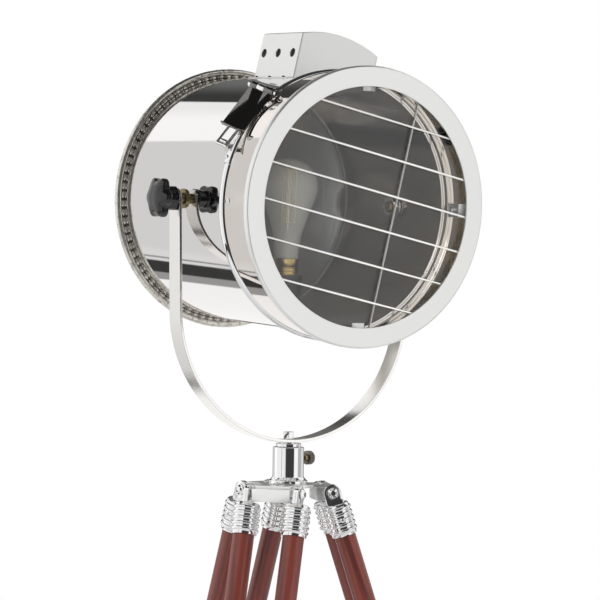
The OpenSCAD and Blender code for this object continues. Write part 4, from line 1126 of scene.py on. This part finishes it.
class LAMP_OT_stand_head(PieceOperator, bpy.types.Operator):
    """Socket post, thumbscrew, plate, hinge blocks and their screws and bolts"""

    bl_idname = "lamp.stand_head"
    bl_label = "Stand head"

    def execute(self, context):
        made = materials()
        post = [(10.05, -38.5), (10.05, POST_TOP), (15.5, POST_TOP), (16.1, POST_TOP - 0.7), (16.1, -34.0),
                (16.5, -35.8), (18.2, -38.0), (20.1, -39.4), (20.1, PLATE_TOP), (0, PLATE_TOP), (0, -38.5)]
        mesh = to_mesh(lathe(eased(post, 0.5, 3), 120), "post")
        piece("socket_post_turned", mesh, "stand", made["chrome"], ("socket_post",), STAND)
        for name, width in (("hub_plate", 0.5), ("hinge_blocks", 0.6)):
            finished(name, "stand", made["white"], width)
        screw = finished("pan_thumbscrew", "swivel_screw", made["groove"], 0.15)
        spot, axis = (Vector(JOINTS["swivel_screw_turn"][key]) for key in ("pos_m", "axis"))
        centre = Vector((YOKE_BASE.x, YOKE_BASE.y, spot.z))
        two_toned(screw, made["dark_brass"], lambda spot: (spot - centre).dot(axis) < THREAD_END * MM)
        plate_top = PLATE_TOP * MM
        spots, bolts = [], []
        for leg, azimuth in LEGS.items():
            turn = Matrix.Rotation(math.radians(azimuth), 4, "Z")
            spots.append((STAND @ turn @ Vector((HUB_SCREWS_AT * MM, 0, plate_top)), (0, 0, 1)))
            frame = Matrix.Translation(leg_place(leg)[0]) @ turn
            for side in (-1, 1):
                aim = turn @ Vector((0, side, 0))
                bolts.append((frame @ Vector((0, side * BOLT_HEADS_AT * MM, 0)), aim))
        item = screw_item(5.2, 2.8, "cross", 1.3, (2.5, 9.0))
        at_places("hub_screws_cross", item, spots, "stand", made["fasteners"], ("hub_screws",))
        foot = [(STAND @ Vector((0, 0, plate_top - 3.0 * MM)), (0, 0, -1))]
        at_places("post_screw", screw_item(7.0, 3.0, "hexagon", 1.6), foot, "stand", made["fasteners"])
        at_places("hinge_bolt_heads", screw_item(5.6, 4.4, "hexagon", 1.9, (3.5, 30.0)), bolts, "stand",
                  made["chrome"], ("hinge_bolts",))
        washer = eased([(3.5, 0), (6.4, 0), (6.4, 1.2), (3.5, 1.2)], 0.3, 2, True)
        washer = to_mesh(lathe(washer, 48, True), "washer")
        at_places("hinge_washers", washer, bolts, "stand", made["fasteners"])
        return {"FINISHED"}


class LAMP_OT_legs(PieceOperator, bpy.types.Operator):
    """Three double wooden legs with their ferrules, clamps, sliders and feet"""

    bl_idname = "lamp.legs"
    bl_label = "Legs"

    def execute(self, context):
        made = materials()
        for leg in LEGS:
            upper, lower, turning = (f"leg_{leg}_{part}" for part in ("upper", "lower", "screw"))
            parts = {"clamp": ("chrome", upper, 0.8), "slider": ("chrome", lower, 0.7),
                     "shoe": ("chrome", lower, 0.25), "tip": ("rubber", lower, 0.8),
                     "clamp_screw": ("fasteners", turning, 0.2), "lower_pole": (f"wood_{leg}", lower, 0.4)}
            for part, (tone, body, width) in parts.items():
                finished(f"leg_{leg}_{part}", body, made[tone], width)
            self.upper(leg, upper, made)
            frame = leg_frame(leg)
            spots = []
            for side in (-1, 1):
                spot = frame @ Vector((0, side * (POLE_PITCH / 2 + 14.2) * MM, -28.2 * MM))
                spots.append((spot, frame.to_3x3() @ Vector((0, side, 0))))
            at_places(f"leg_{leg}_ferrule_screws", screw_item(2.6, 1.5, "cross", 0.8), spots, upper,
                      made["fasteners"])
        return {"FINISHED"}

    def upper(self, leg, body, made):
        """Ribbed ferrules with their flat eyes, and the two upper poles."""
        sleeve = [(POLE_R, -44.8), (12.8, -45.0)]
        for k in range(5):
            middle = -39.4 + 5.6 * k
            sleeve += [(12.8 + 1.9 * math.cos(a), middle + 1.9 * math.sin(a))
                       for a in (math.radians(-80 + 20 * n) for n in range(9))]
        sleeve += [(13.0, -12.8), (12.2, -12.0), (0.0, -12.0), (0.0, -16.0), (POLE_R, -16.0)]
        sleeve = to_mesh(lathe(sleeve, 72, True), "sleeve")
        outline = [(-9, -14), (9, -14), (9, 0), *arc(9, 0, math.pi, 24)[1:-1], (-9, 0)]
        eye = rounded(prism(outline, -3, 3), 0.6, 3, 40)
        eye.transform(Matrix.Rotation(math.radians(90), 4, "X"))
        pole = [(0, -659.8), (POLE_R - 0.6, -659.8), (POLE_R, -659.2), (POLE_R, -18), (0, -18)]
        pole = to_mesh(lathe(pole, 64), "pole")
        for name, parts, tone in (("ferrules", (sleeve, eye), "chrome"), ("poles", (pole,), f"wood_{leg}")):
            sides = [Matrix.Translation((0, side * POLE_PITCH / 2 * MM, 0)) for side in (-1, 1)]
            copies = [moved(part, place) for place in sides for part in parts]
            label = f"leg_{leg}_{name}"
            piece(f"{label}_turned", joined(copies, name), body, made[tone], (label,), leg_frame(leg), 35)


class LAMP_OT_stage(PieceOperator, bpy.types.Operator):
    """Pale floor, soft studio light and the camera at the photograph's angle"""

    bl_idname = "lamp.stage"
    bl_label = "Stage"

    def execute(self, context):
        stage, scene = context.scene.lamp_stage, context.scene
        scene.view_settings.view_transform = "Standard"
        self.floor(stage)
        self.world(scene, stage)
        for name, spot, size, power in (("key", (-2.6, -2.4, 3.4), 2.6, stage.key_power),
                                        ("fill", (3.0, -2.0, 2.2), 2.2, stage.fill_power)):
            lamp = bpy.data.lights.new(f"{name}_light", "AREA")
            lamp.size, lamp.energy = size, power
            obj = placed(f"{name}_light", lamp)
            obj.location = spot
            obj.rotation_euler = (Vector((0, 0, 1.0)) - Vector(spot)).to_track_quat("-Z", "Y").to_euler()
            obj.visible_glossy = False
        camera = bpy.data.cameras.new("camera")
        camera.lens, camera.sensor_width = stage.lens, 36.0
        camera.clip_start, camera.clip_end = 0.1, 60.0
        obj = placed("camera", camera)
        lean, ahead = math.radians(CAMERA_ROLL), Vector(CAMERA_AHEAD).normalized()
        level = Vector((ahead.y, -ahead.x, 0.0))
        right = level * math.cos(lean) + Vector((0, 0, math.sin(lean)))
        up = right.cross(ahead)
        turn = Matrix((right, up, -ahead)).transposed().to_4x4()
        anchor = HEAD @ Vector((0, 0, AIMED_AT))
        obj.matrix_world = Matrix.Translation(anchor - ahead * CAMERA_BACK - up * CAMERA_DROP) @ turn
        scene.camera = obj
        return {"FINISHED"}

    def floor(self, stage):
        """Round pale floor that fades into the white round it."""
        radius = stage.floor_radius
        profile = [(0.0, -0.2)] + [(radius * k / 24, -0.2) for k in range(1, 25)]
        mesh = to_mesh(lathe(profile, 96, scale=1.0), "floor")
        mesh.transform(Matrix.Translation((0, 0, 0.2 - 0.0004)))
        if mesh.polygons[0].normal.z < 0:
            mesh.flip_normals()
        material = bpy.data.materials.new("pale_floor")
        material.use_nodes = True
        tree = material.node_tree
        surface = first_of(tree, "BSDF_PRINCIPLED")
        out = first_of(tree, "OUTPUT_MATERIAL")
        vector = node(tree, "ShaderNodeTexCoord").outputs["Object"]
        cloud = noise(tree, vector, 1.6, 3.0)
        pale = mixed(tree, cloud, (0.86, 0.86, 0.86, 1), (0.9, 0.9, 0.9, 1))
        tree.links.new(pale, surface.inputs["Base Color"])
        surface.inputs["Roughness"].default_value = 0.9
        surface.inputs["Specular IOR Level"].default_value = 0.0
        reach = node(tree, "ShaderNodeVectorMath", {0: vector}, operation="LENGTH").outputs["Value"]
        glow = node(tree, "ShaderNodeEmission", {0: (1, 1, 1, 1), 1: 1.0})
        both = node(tree, "ShaderNodeMixShader", {0: step(tree, reach, radius * 0.45, radius * 0.98),
                    1: surface.outputs[0], 2: glow.outputs[0]})
        tree.links.new(both.outputs[0], out.inputs["Surface"])
        mesh.materials.append(material)
        floor = placed("floor", mesh)

    # Studio round the lamp that only reflections see, in degrees: from and to round the lamp, from
    # and to above the horizon, light and softness of the edge. 0 round the lamp faces the camera.
    # A later panel stands before an earlier one.
    STUDIO = [
        (-112, -24, -28, 25, 1.0, 2.0),
        (-116.8, -96, -28, 25, 1.25, 0.4),
        (-50.5, -47.5, -28, 25, 0.25, 0.6),
        (44, 77, -28, 25, 1.08, 3.0),
        (77, 112, -28, 25, 0.5, 4.0),
        (112, 150, -28, 25, 0.8, 3.0),
        (-124, 180, 25, 48, 1.04, 0.7),
        (-19, 44, -30, 48, 0.05, 3.0),
        (150, 181, -20, 40, 0.10, 3.0),
        (-190, -156, -8, 10, 0.10, 3.0),
        (-180, 180, 48, 91, 0.04, 1.0),
        (-180, 180, -33, -28, 0.06, 0.6),
        (-180, 180, -91, -33, 0.75, 0.6),
        # Left of the drum: two bright panels with dark gaps over and under them
        (-190, -129.3, 10, 44, 1.07, 0.4),
        (-190, -146, 10, 44, 0.93, 6.0),
        (-190, -156, 10, 44, 0.045, 0.6),
        (-195, -168, 10, 44, 0.15, 7.0),
        (-190, -130, -34, -8, 0.78, 1.5),
        (-134.0, -133.2, -34, -8, 0.3, 0.2),
        (-190, -135.5, -34, -8, 0.045, 0.4),
        (-190, -142.5, -34, -8, 0.34, 0.5),
        (-190, -147.5, -34, -8, 1.0, 0.5),
    ]

    def world(self, scene, stage):
        """White round the object, even light on it, and the studio for reflections."""
        world = bpy.data.worlds.new("studio")
        scene.world = world
        world.use_nodes = True
        tree = world.node_tree
        shown = first_of(tree, "BACKGROUND")
        aim = node(tree, "ShaderNodeTexCoord").outputs["Generated"]
        x, y, z = node(tree, "ShaderNodeSeparateXYZ", {0: aim}).outputs
        height = calc(tree, "DEGREES", calc(tree, "ARCSINE", z))
        turned = plus(tree, calc(tree, "DEGREES", calc(tree, "ARCTAN2", y, x)), CAMERA_SIDE)
        round_it = calc(tree, "WRAP", turned, 180.0, -180.0)
        light = OPEN_STUDIO
        for left, right, low, high, value, soft in self.STUDIO:
            share = self.window(tree, height, low, high, soft)
            if (left, right) != (-180, 180):
                share = times(tree, share, self.window(tree, round_it, left, right, soft))
            light = either(tree, share, light, value)
        rays = node(tree, "ShaderNodeLightPath").outputs
        even = either(tree, rays["Is Glossy Ray"], stage.soft_light, light)
        direct = calc(tree, "MAXIMUM", rays["Is Camera Ray"], rays["Is Transmission Ray"])
        tree.links.new(either(tree, direct, even, 1.0), shown.inputs["Strength"])
        shown.inputs["Color"].default_value = (1, 1, 1, 1)

    def window(self, tree, value, low, high, soft):
        """1 between low and high, 0 outside."""
        rise = step(tree, value, low - soft, low + soft)
        return times(tree, rise, minus(tree, 1.0, step(tree, value, high - soft, high + soft)))


OPERATORS = (LAMP_OT_stage, LAMP_OT_shell, LAMP_OT_rear_rim, LAMP_OT_bulb, LAMP_OT_trunnions, LAMP_OT_latch,
             LAMP_OT_bezel, LAMP_OT_yoke, LAMP_OT_stand_head, LAMP_OT_legs)


class LAMP_PT_panel(bpy.types.Panel):
    """Lists the lamp's pieces and settings in the sidebar"""

    bl_label = "Tripod spotlight lamp"
    bl_idname = "LAMP_PT_panel"
    bl_space_type = "VIEW_3D"
    bl_region_type = "UI"
    bl_category = "Lamp"

    def draw(self, context):
        for operator in OPERATORS:
            self.layout.operator(operator.bl_idname)
        for group in (context.scene.lamp_rim, context.scene.lamp_stage, context.scene.lamp_tones):
            box = self.layout.box()
            for label in group.__annotations__:
                box.prop(group, label)


GROUPS = {"lamp_tones": LampTones, "lamp_rim": LampRim, "lamp_stage": LampStage}


def register():
    for group in GROUPS.values():
        bpy.utils.register_class(group)
    for operator in (*OPERATORS, LAMP_PT_panel):
        bpy.utils.register_class(operator)
    for name, group in GROUPS.items():
        setattr(bpy.types.Scene, name, PointerProperty(type=group))


def unregister():
    for name in GROUPS:
        delattr(bpy.types.Scene, name)
    for operator in (LAMP_PT_panel, *reversed(OPERATORS)):
        bpy.utils.unregister_class(operator)
    for group in reversed(list(GROUPS.values())):
        bpy.utils.unregister_class(group)


def main():
    """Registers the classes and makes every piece."""
    register()
    for operator in OPERATORS:
        getattr(bpy.ops.lamp, operator.bl_idname.split(".")[1])()


if __name__ == "__main__":
    main()
